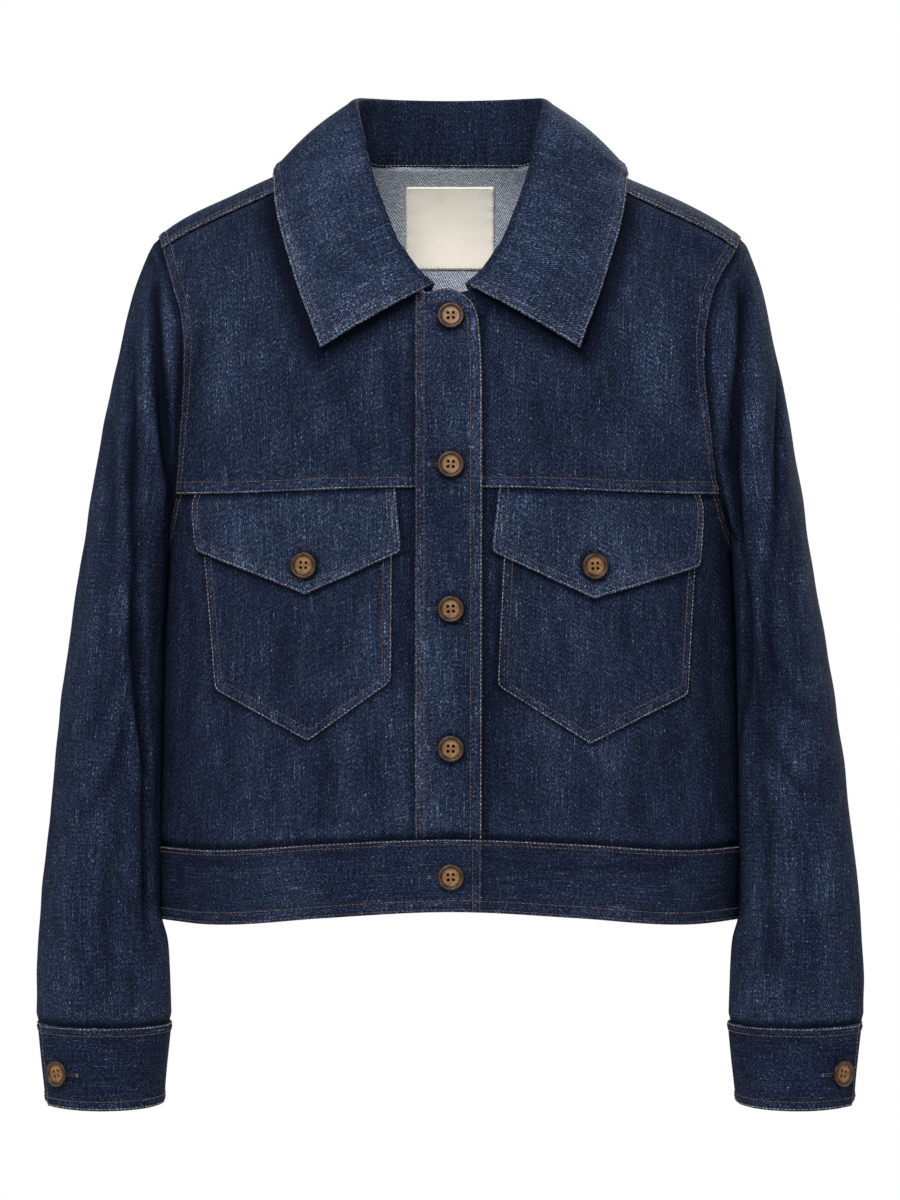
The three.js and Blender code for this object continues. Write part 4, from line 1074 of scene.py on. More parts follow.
def make_cloth(
    name, zones, thickness, seams, materials, drape=None, turned=False, light=0.0, cotton="thread", allowance=0, seed=0
):
    """A piece of cloth with its faces, made-up edges and topstitching; a turned one has its
    warp along u. Within an allowance of its first seam the inside shows the cloth's face, and
    light makes all of it paler. Returns the cloth, its stitches, and its flat size and area in
    millimetres."""
    point, out = (np.concatenate([z[key].reshape(-1, 3) for z in zones]) for key in ("point", "out"))
    flat = np.concatenate([z["flat"].reshape(-1, 2) for z in zones])
    beyond, level = (np.concatenate([z[key].ravel() for z in zones]) for key in ("beyond", "level"))
    quads, first = [], 0
    for z in zones:
        cells = grid_quads(z["beyond"].shape, first)
        first += z["beyond"].size
        faces = np.cross(point[cells[:, 2]] - point[cells[:, 0]], point[cells[:, 3]] - point[cells[:, 1]])
        quads.append(cells if (faces * out[cells[:, 0]]).sum() > 0 else cells[:, ::-1])
    quads = np.concatenate(quads)

    height = drape(point) if drape else np.zeros(len(point))
    # Painted shade and light: the drape's hollows are darker and its swells paler, and light shifts the whole piece
    # paler or darker.
    shade = np.clip(height / SHADE_HEIGHT, *SHADE_RANGE) + light
    # Painted shade: the colour is darkened where the cloth goes under its neighbour, in the dip under each stitch row,
    # and along painted shadows.
    roll, worn, sunk_and_painted_shade, under = (np.zeros(len(point)) for _ in range(4))
    rows = []
    radius = thickness / 2
    for k, how in enumerate(seams):
        distance, run = near(flat if how["line"].shape[1] == 2 else point, how["line"])
        if k == 0:
            from_first = distance
        if how["only"] is not None:
            distance = np.where(how["only"].ravel(), distance, FAR)
        # A painted shadow, or a paler line where its strength is below zero.
        if how["lay"] == "shadow":
            sunk_and_painted_shade = np.maximum(sunk_and_painted_shade, how["strength"] * bell(distance, how["width"]))
            worn = np.maximum(worn, -how["strength"] * bell(distance, how["width"]))
            continue
        # Where the cloth goes under its neighbour it sinks, and its colour is darkened there as painted shade.
        if how["lay"] == "under":
            low = np.where(beyond > 0, TUCKED_DOWN, 1 - eased(distance / TUCK_REACH))
            under = np.maximum(under, low)
            sunk_and_painted_shade = np.maximum(sunk_and_painted_shade, low)
            continue
        height += seam_relief(distance, run, how, seed + 10 * k)
        short = radius - np.minimum(distance, radius)
        roll = np.maximum(roll, radius - np.sqrt(radius**2 - short**2))
        worn = np.maximum(worn, bell(distance - 0.4, 0.9) * (0.6 + 0.4 * wobble(run, 4, seed + k)))
        if len(how["rows"]) > 1:
            first, last = how["rows"][0], how["rows"][-1]
            channel = 0.45 * np.sin(np.pi * np.clip((distance - first) / (last - first), 0, 1))
            worn = np.maximum(worn, channel * (0.55 + 0.9 * wobble(run + 0.8 * distance, 3.8, seed + k + 3)))
        for j, row in enumerate(how["rows"]):
            rows.append((distance, row, j < how["pale"]))
            worn = np.maximum(worn, 0.22 * bell(distance - row, 0.9))
            # Painted shade in the dip under the row.
            sunk_and_painted_shade = np.maximum(sunk_and_painted_shade, 0.35 * bell(distance - row, 0.5))

    height -= TUCK_SINK * under
    _, keep, index = np.unique(np.round(point, 3), axis=0, return_index=True, return_inverse=True)
    index = index.ravel()
    outer = (point + out * (level + height - roll)[:, None])[keep]
    inner = (point + out * (level + height - thickness + np.minimum(roll, radius - 0.03))[:, None])[keep]
    faces = index[quads]
    count = len(keep)
    ends = np.stack([faces, np.roll(faces, -1, axis=1)], -1).reshape(-1, 2)
    corners = np.stack([quads, np.roll(quads, -1, axis=1)], -1).reshape(-1, 2)
    shared = np.isin(ends[:, 0] * count + ends[:, 1], ends[:, 1] * count + ends[:, 0])
    ends, corners = ends[~shared], corners[~shared]
    rim = np.stack([ends[:, 1], ends[:, 0], ends[:, 0] + count, ends[:, 1] + count], -1)
    rim_flat = flat[corners[:, [1, 0, 0, 1]]]
    all_faces = np.concatenate([faces, faces[:, ::-1] + count, rim])
    uv = np.concatenate([flat[quads], flat[quads[:, ::-1]], rim_flat]).reshape(-1, 2)
    if turned:
        uv = np.stack([-uv[:, 1], uv[:, 0]], -1)
    uv = uv + np.array(GRAIN_SHIFT) * seed
    lining = np.where(from_first[keep][faces].max(1) < allowance, 0, 1)
    kinds = np.concatenate([np.zeros(len(faces)), lining, np.zeros(len(rim))]).astype(int)
    fields = {"worn": np.tile(worn[keep], 2), "sunk_and_painted_shade": np.tile(sunk_and_painted_shade[keep], 2), "shade": np.tile(shade[keep], 2)}
    cloth = new_mesh(name + "_cloth", np.concatenate([outer, inner]), all_faces, materials, kinds, uv, fields)

    out = normals_of(outer, faces)
    stitches = []
    inside = triangles_of(faces)
    inside = inside[(beyond[keep][inside] == 0).all(1)]
    for distance, row, pale in rows:
        for a, b, share in contour(inside, distance[keep], row):
            stitches.append((*(lerp(values[a], values[b], share[:, None]) for values in (outer, out)), pale))
    thread = sew(name + "_stitches", stitches, seed, cotton) if stitches else None
    widths = flat.max(0) - flat.min(0)
    spots = point[quads]
    area = 0.5 * np.linalg.norm(np.cross(spots[:, 2] - spots[:, 0], spots[:, 3] - spots[:, 1]), axis=1).sum()
    return cloth, thread, widths, area


def contour(triangles, values, level):
    """Lines on which a field over triangles has one value: for each, the pairs of vertices that
    it passes between and its share of the way from the first to the second."""
    above = values > level
    mixed = triangles[above[triangles].any(1) & ~above[triangles].all(1)]
    links = {}
    for corners in mixed.tolist():
        cut = []
        for a, b in zip(corners, corners[1:] + corners[:1]):
            if above[a] != above[b]:
                cut.append((min(a, b), max(a, b)))
        for one, other in (cut, cut[::-1]):
            links.setdefault(one, []).append(other)
    chains = []
    while links:
        start = next((key for key in links if len(links[key]) == 1), next(iter(links)))
        chain, at = [start], start
        while links.get(at):
            following = links[at].pop()
            links[following].remove(at)
            if not links[at]:
                del links[at]
            chain.append(following)
            at = following
        links.pop(at, None)
        if len(chain) > 3:
            a, b = np.array(chain).T
            chains.append((a, b, (level - values[a]) / (values[b] - values[a])))
    return chains


STITCH_PITCH = 2.9
STITCH_GAP = 0.55
THREAD_RADIUS = 0.3
PALE_TONE, DARK_TONE = 0.78, 0.2
STITCH_POINTS = 20  # four rings of five
STITCH_STEPS = np.array([0.0, 0.3, 0.7, 1.0])
STITCH_RISE = np.array([-0.15, 0.2, 0.2, -0.15])
STITCH_SIZE = np.array([0.6, 1.0, 1.0, 0.6])


def rings_round(centre, aside, out, radius):
    """The points of stitches, as rings of five round the four places along each one's middle."""
    angle = np.linspace(0, 2 * np.pi, 6)[:-1, None]
    ring = np.cos(angle) * aside[:, :, None] + np.sin(angle) * out[:, :, None]
    return (centre[:, :, None] + radius * STITCH_SIZE[:, None, None] * ring).reshape(-1, 3)


def stitch_mesh(name, points, tone, material):
    return new_mesh(name, points, stitch_faces(len(tone)), [material], fields={"tone": np.repeat(tone, STITCH_POINTS)})


def sew(name, lines, seed, cotton):
    """Stitches along lines of points with the cloth's way out: lines are (points, outs, pale)."""
    rng = np.random.default_rng(seed)
    blocks, tone = [], []
    for points, outs, pale in lines:
        run = lengths(points)
        count = int(run[-1] // STITCH_PITCH)
        if count < 1:
            continue
        starts = np.arange(count) * run[-1] / count
        at = starts[:, None] + STITCH_GAP / 2 + STITCH_STEPS * (run[-1] / count - STITCH_GAP)
        centre = np.stack([np.interp(at, run, column) for column in points.T], -1)
        out = unit(np.stack([np.interp(at, run, column) for column in outs.T], -1))
        way = unit(centre[:, -1] - centre[:, 0])[:, None]
        aside = unit(np.cross(way, out))
        slant = rng.uniform(0.04, 0.16, (count, 1)) * np.array([-1, -0.4, 0.4, 1])
        lift = STITCH_RISE + rng.normal(0, 0.03, (count, 1))
        centre = centre + out * lift[..., None] + aside * slant[..., None]
        blocks.append(rings_round(centre, aside, out, THREAD_RADIUS))
        tone.append(np.clip((PALE_TONE if pale else DARK_TONE) + rng.normal(0, 0.16, count), 0, 1))
    return stitch_mesh(name, np.concatenate(blocks), np.concatenate(tone), MATERIALS[cotton])


def stitch_faces(count):
    """The faces of a number of stitches, each of four rings of five points with closed ends."""
    quads = []
    for k in range(3):
        for i in range(5):
            j = (i + 1) % 5
            quads.append((5 * k + i, 5 * k + j, 5 * k + 5 + j, 5 * k + 5 + i))
    quads += [(0, 4, 3, 1), (3, 2, 1, 1), (15, 16, 18, 19), (16, 17, 18, 18)]
    tris = [(a, b, c) for a, b, c, d in quads if b != c] + [(a, c, d) for a, b, c, d in quads if c != d]
    return (np.array(tris)[None] + STITCH_POINTS * np.arange(count)[:, None, None]).reshape(-1, 3)


# ---------------------------------------------------------------- materials


class Graph:
    """A material's nodes, made one call at a time."""

    def __init__(self, name, **constants):
        self.material = bpy.data.materials.new(name)
        self.material.use_nodes = True
        self.tree = self.material.node_tree
        self.shader = next(n for n in self.tree.nodes if n.type == "BSDF_PRINCIPLED")
        for key, value in constants.items():
            self.shader.inputs[key.replace("_", " ")].default_value = value

    def node(self, kind, inputs, **settings):
        made = self.tree.nodes.new("ShaderNode" + kind)
        for key, value in settings.items():
            setattr(made, key, value)
        for key, value in inputs.items():
            self.feed(made.inputs[key], value)
        return made

    def feed(self, socket, value):
        if isinstance(value, bpy.types.NodeSocket):
            self.tree.links.new(value, socket)
        else:
            socket.default_value = value

    def math(self, operation, *values):
        return self.node("Math", dict(enumerate(values)), operation=operation).outputs[0]

    def total(self, *terms):
        """The sum of sockets or numbers, each a (value, factor) pair."""
        result = 0.0
        for value, factor in terms:
            result = self.math("MULTIPLY_ADD", value, factor, result)
        return result

    def noise(self, vector, detail=2.0, roughness=0.5, scale=1.0):
        """Noise, about -1 to 1."""
        inputs = {"Vector": vector, "Scale": scale, "Detail": detail, "Roughness": roughness}
        return self.math("MULTIPLY_ADD", self.node("TexNoise", inputs).outputs[0], 4.0, -2.0)

    def grain(self, mm, across, down, detail=2.0, roughness=0.6):
        """Noise on flat cloth, with its swells per millimetre across and down."""
        return self.noise(self.scaled(mm, across, down, 0.0), detail, roughness)

    def scaled(self, vector, *factors):
        return self.node("VectorMath", {0: vector, 1: factors}, operation="MULTIPLY").outputs[0]

    def ramp(self, value, *stops):
        """A colour by value; stops are (place, linear colour)."""
        made = self.node("ValToRGB", {0: value})
        elements = made.color_ramp.elements
        while len(elements) < len(stops):
            elements.new(0.5)
        for element, (place_, colour) in zip(elements, stops):
            element.position = place_
            element.color = (*colour, 1)
        return made.outputs[0]

    def field(self, name):
        return self.node("Attribute", {}, attribute_name=name).outputs["Fac"]

    def cloth_place(self):
        """The place on the flat cloth in millimetres, and its two parts."""
        uv = self.node("UVMap", {}, uv_map="cloth").outputs[0]
        mm = self.scaled(uv, 1000.0, 1000.0, 0.0)
        parts = self.node("SeparateXYZ", {0: mm})
        return mm, parts.outputs[0], parts.outputs[1]

    def bump(self, height, reach, strength):
        inputs = {"Height": height, "Distance": reach, "Strength": strength}
        self.feed(self.shader.inputs["Normal"], self.node("Bump", inputs).outputs[0])

    def finish(self, colour, roughness=None):
        self.feed(self.shader.inputs["Base Color"], colour)
        if roughness is not None:
            self.feed(self.shader.inputs["Roughness"], roughness)
        return self.material


TWILL_PITCH = 1.45
TWILL_WAY = (0.87, -0.5)  # across the twill's lines, which rise to the right


def twill(g, mm, u, v):
    """The wave of a twill, about -1 to 1, unevenly spaced as yarns are."""
    jitter = g.grain(mm, 0.45, 0.12, 1.0, 0.5)
    across = g.total((u, TWILL_WAY[0] / TWILL_PITCH), (v, TWILL_WAY[1] / TWILL_PITCH), (jitter, 0.22))
    return g.math("SINE", g.math("MULTIPLY", across, 2 * np.pi))


def denim_face():
    g = Graph("indigo_denim_face", Specular_IOR_Level=0.04)
    mm, u, v = g.cloth_place()
    wave = twill(g, mm, u, v)
    slow = g.grain(mm, 0.028, 0.014, 2.0, 0.5)
    patches = g.grain(mm, 0.13, 0.06)
    mottle = g.grain(mm, 0.62, 0.4)
    streak = g.grain(mm, 0.36, 0.018)
    warp = g.grain(mm, 0.9, 0.045)
    weft = g.grain(mm, 0.07, 0.9)
    yarn = g.grain(mm, 0.95, 0.55, 1.0, 0.5)
    thread = g.grain(mm, 1.25, 0.28, 1.0, 0.5)
    fleck = g.math("MAXIMUM", g.math("SUBTRACT", thread, 0.5), 0.0)
    slub = g.math("MAXIMUM", g.math("SUBTRACT", warp, 0.5), 0.0)
    edge = g.math("MULTIPLY", g.field("worn"), g.math("MULTIPLY_ADD", mottle, 0.35, 0.6))
    # Painted shade darkens the cloth where it sinks and along painted shadows, and painted shade and light follow the
    # drape's hollows and swells.
    value = g.total(
        (slow, 0.07), (patches, 0.055), (mottle, 0.07), (streak, 0.05), (warp, 0.14), (weft, 0.11), (wave, 0.13),
        (yarn, 0.30), (fleck, 0.6), (slub, 0.4), (edge, 0.5), (g.field("sunk_and_painted_shade"), -0.34), (g.field("shade"), 0.2),
        (1.0, 0.37),
    )
    colour = g.ramp(
        value,
        (0.0, (0.0010, 0.0018, 0.0052)),
        (0.25, (0.0034, 0.0056, 0.0138)),
        (0.50, (0.0089, 0.0138, 0.0298)),
        (0.75, (0.0298, 0.0432, 0.0775)),
        (1.0, (0.1200, 0.1600, 0.2400)),
    )
    height = g.total((wave, 0.5), (warp, 0.4), (weft, 0.3), (yarn, 0.5))
    g.bump(height, 0.00022, 0.8)
    return g.finish(colour, g.math("MULTIPLY_ADD", mottle, 0.05, 0.86))


def denim_inside():
    g = Graph("denim_inside", Sheen_Weight=0.06, Sheen_Roughness=0.6, Specular_IOR_Level=0.12)
    mm, u, v = g.cloth_place()
    wave = twill(g, mm, u, v)
    slow = g.grain(mm, 0.02, 0.013, 2.0, 0.5)
    patches = g.grain(mm, 0.2, 0.2, 3.0)
    weft = g.grain(mm, 0.09, 0.9)
    yarn = g.grain(mm, 1.1, 0.7)
    # Painted shade where the cloth sinks darkens the inside too.
    value = g.total(
        (slow, 0.06), (patches, 0.08), (weft, 0.12), (yarn, 0.26), (wave, 0.24), (g.field("sunk_and_painted_shade"), -0.25), (1.0, 0.42)
    )
    colour = g.ramp(
        value,
        (0.0, (0.040, 0.052, 0.078)),
        (0.35, (0.150, 0.175, 0.220)),
        (0.65, (0.400, 0.430, 0.480)),
        (1.0, (0.820, 0.850, 0.880)),
    )
    g.bump(g.total((wave, 0.7), (yarn, 0.4), (weft, 0.3)), 0.0002, 0.8)
    return g.finish(colour, g.math("MULTIPLY_ADD", patches, 0.04, 0.88))


def thread_cotton():
    g = Graph("topstitch_thread", Sheen_Weight=0.1, Specular_IOR_Level=0.3)
    place_ = g.node("TexCoord", {}).outputs["Object"]
    strands = g.noise(place_, 2.0, 0.6, 2600.0)
    slow = g.noise(place_, 1.0, 0.5, 35.0)
    value = g.total((g.field("tone"), 1.0), (strands, 0.1), (slow, 0.06))
    colour = g.ramp(
        value,
        (0.0, (0.020, 0.012, 0.012)),
        (0.3, (0.080, 0.038, 0.026)),
        (0.7, (0.105, 0.080, 0.068)),
        (1.0, (0.230, 0.212, 0.200)),
    )
    g.bump(strands, 0.0001, 0.6)
    return g.finish(colour, g.math("MULTIPLY_ADD", slow, 0.06, 0.68))


def hole_thread():
    """Satin stitches of a buttonhole, darker where their tone is low."""
    g = Graph("buttonhole_thread", Specular_IOR_Level=0.25)
    place_ = g.node("TexCoord", {}).outputs["Object"]
    strands = g.noise(place_, 2.0, 0.6, 2400.0)
    value = g.total((g.field("tone"), 1.0), (strands, 0.07))
    colour = g.ramp(
        value,
        (0.0, (0.0015, 0.0018, 0.0030)),
        (0.35, (0.010, 0.011, 0.020)),
        (0.7, (0.034, 0.036, 0.056)),
        (1.0, (0.130, 0.126, 0.165)),
    )
    g.bump(strands, 0.0001, 0.6)
    return g.finish(colour, g.math("MULTIPLY_ADD", strands, 0.05, 0.75))


def woven_label():
    g = Graph("woven_label", Specular_IOR_Level=0.05)
    mm, u, v = g.cloth_place()
    across = g.math("SINE", g.math("MULTIPLY", u, 2 * np.pi / 0.62))
    down = g.math("SINE", g.math("MULTIPLY", v, 2 * np.pi / 0.55))
    weave = g.math("MULTIPLY", across, down)
    patches = g.grain(mm, 0.06, 0.05, 3.0, 0.5)
    yarn = g.grain(mm, 0.12, 1.6, 2.0, 0.5)
    # Painted shade under the label's stitch row darkens it.
    value = g.total((weave, 0.06), (patches, 0.08), (yarn, 0.08), (g.field("sunk_and_painted_shade"), -0.5), (1.0, 0.62))
    colour = g.ramp(
        value,
        (0.0, (0.400, 0.340, 0.270)),
        (0.45, (0.650, 0.595, 0.515)),
        (1.0, (0.760, 0.715, 0.640)),
    )
    g.bump(g.total((weave, 0.6), (yarn, 0.5)), 0.00012, 0.5)
    return g.finish(colour, g.math("MULTIPLY_ADD", patches, 0.05, 0.8))


def horn_button():
    g = Graph("brown_horn", Coat_Weight=0.07, Coat_Roughness=0.22, Specular_IOR_Level=0.15)
    place_ = g.node("TexCoord", {}).outputs["Object"]
    mm = g.scaled(place_, 1000.0, 1000.0, 1000.0)
    flat_ = g.scaled(mm, 1.0, 1.0, 0.0)
    radius = g.node("VectorMath", {0: flat_}, operation="LENGTH").outputs["Value"]
    cloud = g.noise(g.scaled(mm, 0.16, 0.3, 0.2), 3.0, 0.6)
    grain = g.noise(g.scaled(mm, 0.5, 2.4, 0.6), 3.0, 0.6)
    # The horn's tones by radius, with painted shade in the groove at the foot of the rim (0.66) and on the rim's outer
    # side (0.91).
    tones = {0.0: 0.66, 0.46: 0.68, 0.60: 0.52, 0.66: 0.14, 0.72: 0.34, 0.83: 0.40, 0.91: 0.06}
    rings = g.ramp(g.math("MULTIPLY", radius, 0.1), *((place_, (tone,) * 3) for place_, tone in tones.items()))
    value = g.total((rings, 1.0), (cloud, 0.16), (grain, 0.1))
    colour = g.ramp(
        value,
        (0.05, (0.006, 0.003, 0.002)),
        (0.35, (0.026, 0.012, 0.006)),
        (0.6, (0.095, 0.046, 0.017)),
        (0.95, (0.250, 0.128, 0.046)),
    )
    g.bump(g.total((grain, 0.6), (cloud, 0.4)), 0.00012, 0.5)
    return g.finish(colour, g.math("MULTIPLY_ADD", cloud, 0.06, 0.36))


MATERIALS = {
    "face": denim_face(),
    "inside": denim_inside(),
    "thread": thread_cotton(),
    "hole": hole_thread(),
    "label": woven_label(),
    "horn": horn_button(),
}
SINGLE_CLOTH = (MATERIALS["face"], MATERIALS["inside"])
DOUBLE_CLOTH = (MATERIALS["face"], MATERIALS["face"])

# ---------------------------------------------------------------- the jacket's pieces

SHEETS = {}  # cloth by node: the object, flat size, area and what it hangs from
FOLLOWERS = {}  # what is sewn on each cloth


def piece(node, zones, thickness, seams, materials, hangs_from, slot="denim", **more):
    """Makes a node's cloth, which rides on the body and stands for that node."""
    seed = len(SHEETS) + 1
    cloth, thread, widths, area = make_cloth(node, zones, thickness, seams, materials, seed=seed, **more)
    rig.ride(cloth, "root")
    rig.replaces(cloth, node)
    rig.slot(cloth, slot)
    SHEETS[node] = (cloth, widths, area, hangs_from)
    FOLLOWERS[node] = []
    if thread:
        follow(node, thread, slot)


def follow(node, thing, slot="denim"):
    """Fixes a stitch row or buttonhole to its cloth."""
    cloth = SHEETS[node][0]
    thing.parent = cloth
    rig.slot(thing, slot)
    FOLLOWERS[node].append(thing)


def neck_line(side, first, last):
    return neckline(side, np.linspace(first, last, 121))


def arm_line(side, first, last, face):
    return armhole(side, np.linspace(first, last, 161), face)


def straight(a, b, count=61):
    return lerp(a, b, np.linspace(0, 1, count)[:, None])


def down_line(x, high, low, face=FRONT, count=121):
    return place(np.full(count, float(x)), np.linspace(high, low, count), face)


def run_of(curve):
    return lengths(on_skin(curve))[-1]


def yoke_seam(side):
    """The front yoke's lower seam, from the front edge to the armhole."""
    end = armhole(side, np.array(YOKE_ARM), FRONT)
    x = np.linspace(FRONT_EDGE[side], on_skin(end)[0], 161)
    line = place(x, yoke_z(x), FRONT)
    line[-1] = end
    return line


def waist_line(face, first, last):
    s = np.linspace(first, last, 241)
    return at_height(s, waist_z(s, "seam"), face)


def side_line(side, face):
    sign = SIDES[side]
    foot = waist_z(sign, "seam")
    return down_line(sign * SHOULDER_SPAN, UNDERARM_Z, foot, face)


LEAF_TURNS = (11, 78)  # turns between which the fall's edge lies over the fronts
LEAF_SHADE_DROP = 1.5


def leaf_line(side):
    """The line under the collar's free edge, on the flat cloth, along which the leaf's shadow is painted."""
    front = collar_section(COLLAR["turn"][0], np.linspace(0, 1, 24))[FALL_ROW:]
    _, edge = collar_run(np.linspace(*LEAF_TURNS, 50))
    x, _, z = np.concatenate([front, edge]).T
    return laid_flat(place(SIDES[side] * x, z - LEAF_SHADE_DROP, FRONT))


def placket_shadows(tops, foot):
    """Painted shadows: the darker cloth along both edges of the placket."""
    lines = [laid_flat(down_line(x, top, foot)) for x, top in zip(PLACKET_EDGES, tops)]
    return [shadow(line, strength, 4) for line, strength in zip(lines, (0.7, 1.0))]


def make_yoke(side):
    neck, arm = neck_line(side, FORWARD_TURN, RISE_TURN), arm_line(side, FORWARD_ARM, RISE_ARM, FRONT)
    forward, middle = straight(neck[0], arm[0]), straight(neck[-1], arm[-1])
    across = spaced(run_of(middle), False, True)
    down = spaced((run_of(neck) + run_of(arm)) / 2, True, False)
    middle_row = along(middle, across)
    shoulder = fill(along(forward, across), middle_row, along(neck, down), along(arm, down))

    start = np.degrees(np.arcsin(FRONT_EDGE[side] * SIDES[side] / NECK_HALF))
    front_neck = neck_line(side, start, RISE_TURN)
    first = along(front_neck, spaced(run_of(front_neck), False, False))
    top = np.concatenate([first[:-1], middle_row])
    top_x = on_skin(top)[:, 0]
    seam_end = armhole(side, np.array(YOKE_ARM), FRONT)
    share = (top_x - top_x[0]) / (top_x[-1] - top_x[0])
    x = lerp(FRONT_EDGE[side], on_skin(seam_end)[0], share)
    bottom = place(x, yoke_z(x), FRONT)
    bottom[-1] = seam_end
    lower_arm = arm_line(side, RISE_ARM, YOKE_ARM, FRONT)
    rows = spaced(1.2 * run_of(lower_arm), False, True)
    edge = down_line(FRONT_EDGE[side], on_skin(top[0])[2], yoke_z(FRONT_EDGE[side]))
    lower = fill_between(top, bottom, along(edge, rows), along(lower_arm, rows))
    zones = [tuck(skin_zone(shoulder, FRONT), "top"), skin_zone(lower, FRONT)]
    for part in zones:
        x = part["point"][..., 0]
        low = bell(part["point"][..., 2] - yoke_z(x), FLAP_ROOT["width"])
        (inner, inner_fade), (outer, outer_fade) = FLAP_ROOT["inner"], FLAP_ROOT["outer"]
        over = eased((np.abs(x) - inner) / inner_fade) * eased((outer - np.abs(x)) / outer_fade)
        part["level"] = part["level"] + FLAP_ROOT["lift"] * low * over
    arm_edge = laid_flat(arm_line(side, FORWARD_ARM, YOKE_ARM, FRONT))
    seams = [
        seam(arm_edge, rows=(1.3, 6.8), pale=0, rise=0.35),
        seam(laid_flat(yoke_seam(side)), rows=(1.1, 6.9), rise=0.6, pucker=0.4),
        seam(laid_flat(forward), lay="under"),
        shadow(leaf_line(side), 1.5, 9),
        *placket_shadows((-92, -100), yoke_z(0)),
    ]
    piece("yoke_" + side, zones, PLAIN_CLOTH, seams, SINGLE_CLOTH, ["back"], drape=body_drape)


def outline(shape):
    """The flat line round a pocket's or flap's free sides."""
    corners = np.array([shape["top"][0], *shape["foot"], shape["top"][1]], float)
    x, z = np.concatenate([straight(a, b, 30) for a, b in zip(corners, corners[1:])]).T
    return laid_flat(place(x, z, FRONT))


def make_front(side):
    sign = SIDES[side]
    seam_row = yoke_seam(side)
    arm = arm_line(side, YOKE_ARM, 180, FRONT)
    edge_s = place(FRONT_EDGE[side], WAIST_Z, FRONT)[0]
    foot = waist_line(FRONT, edge_s, sign)
    outer = np.concatenate([arm, side_line(side, FRONT)[1:]])
    across = spaced(run_of(seam_row), False, True)
    down = spaced(run_of(outer))
    top, bottom = along(seam_row, across), along(foot, across)
    inner = down_line(FRONT_EDGE[side], yoke_z(FRONT_EDGE[side]), on_skin(bottom[0])[2])
    grid = fill_between(top, bottom, along(inner, down), along(outer, down))
    whole = tuck(tuck(skin_zone(grid, FRONT), "top"), "bottom")
    seams = [
        seam(laid_flat(seam_row), lay="under"),
        seam(laid_flat(arm), rows=(1.3, 6.8), pale=0, rise=0.35),
        seam(laid_flat(side_line(side, FRONT)), lay="under"),
        seam(laid_flat(foot), lay="under"),
        shadow(outline(POCKETS[side])),
        shadow(outline(FLAPS[side]), width=3),
        *placket_shadows((yoke_z(0), yoke_z(0)), -470),
    ]
    piece("front_" + side, [whole], PLAIN_CLOTH, seams, SINGLE_CLOTH, ["yoke_" + side, "waistband"], drape=body_drape)


def make_back():
    zones, feet, seams = [], {}, []
    for side in SIDES:
        neck = neck_line(side, FORWARD_TURN, BACK_TURN)
        ahead = arm_line(side, FORWARD_ARM, 0, FRONT)
        arm = np.concatenate([ahead[:-1], arm_line(side, 0, FORWARD_ARM, BACK)])
        forward, foot = straight(neck[0], arm[0]), straight(neck[-1], arm[-1])
        across = spaced(run_of(foot), False, True)
        down = spaced((run_of(neck) + run_of(arm)) / 2, True, False)
        feet[side] = along(foot, across)
        grid = fill(along(forward, across), feet[side], along(neck, down), along(arm, down))
        zones.append(skin_zone(grid, BACK))
        whole = np.concatenate([arm, arm_line(side, FORWARD_ARM, 180, BACK)[1:]])
        seams.append(seam(laid_flat(forward, BACK), rows=(1.1, 6.6), rise=0.6))
        seams.append(seam(laid_flat(whole, BACK), rows=(1.3, 6.8), pale=0, rise=0.25))
        seams.append(seam(laid_flat(side_line(side, BACK), BACK), rows=(1.3, 6.8), rise=0.5))
    necks = {}
    for side in SIDES:
        line = neck_line(side, BACK_TURN, 180)
        necks[side] = along(line, spaced(run_of(line), False, False))
    right = np.concatenate([feet["right"][::-1], necks["right"][1:]])
    left = np.concatenate([feet["left"][::-1], necks["left"][1:]])
    top = np.concatenate([right, left[:-1][::-1]])
    foot = waist_line(BACK, -1, 1)
    run = lengths(on_skin(top))
    bottom = along(foot, run / run[-1])
    lines = [np.concatenate([arm_line(side, FORWARD_ARM, 180, BACK), side_line(side, BACK)[1:]]) for side in SIDES]
    rows = spaced(run_of(lines[0]), False, True)
    lower = fill_between(top, bottom, *[along(line, rows) for line in lines])
    zones.append(tuck(skin_zone(lower, BACK), "bottom"))
    seams.append(seam(laid_flat(foot, BACK), lay="under"))
    piece("back", zones, PLAIN_CLOTH, seams, SINGLE_CLOTH, ["yoke_right", "yoke_left", "waistband"], drape=body_drape)


def sleeve_flat(side, point, turns):
    """A sleeve's cloth laid flat: heights, and lengths round it from its front."""
    z = point[..., 2]
    outer = smooth(OUTER_EDGE, side, z)
    inner = np.where(z > UNDERARM_Z, smooth(ARMHOLE, side, z), smooth(INNER_EDGE, "x", z))
    half = np.maximum((outer - inner) / 2, 12)
    down = (SLEEVE_TOP - z) / (SLEEVE_TOP - SLEEVE_END)
    depth = smooth(SLEEVE, "depth", down)
    ahead = (smooth(SLEEVE, "centre_y", down) - point[..., 1]) / depth
    theta = np.degrees(np.arctan2(ahead, (np.abs(point[..., 0]) - (outer + inner) / 2) / half))
    theta += 360 * np.round((turns - theta) / 360)
    way = np.radians(90 + (theta - 90)[..., None] * (np.arange(48) + 0.5) / 48)
    steps = np.hypot(half[..., None] * np.sin(way), depth[..., None] * np.cos(way))
    u = steps.mean(-1) * np.radians(theta - 90)
    return np.stack([-SIDES[side] * u, z], -1)


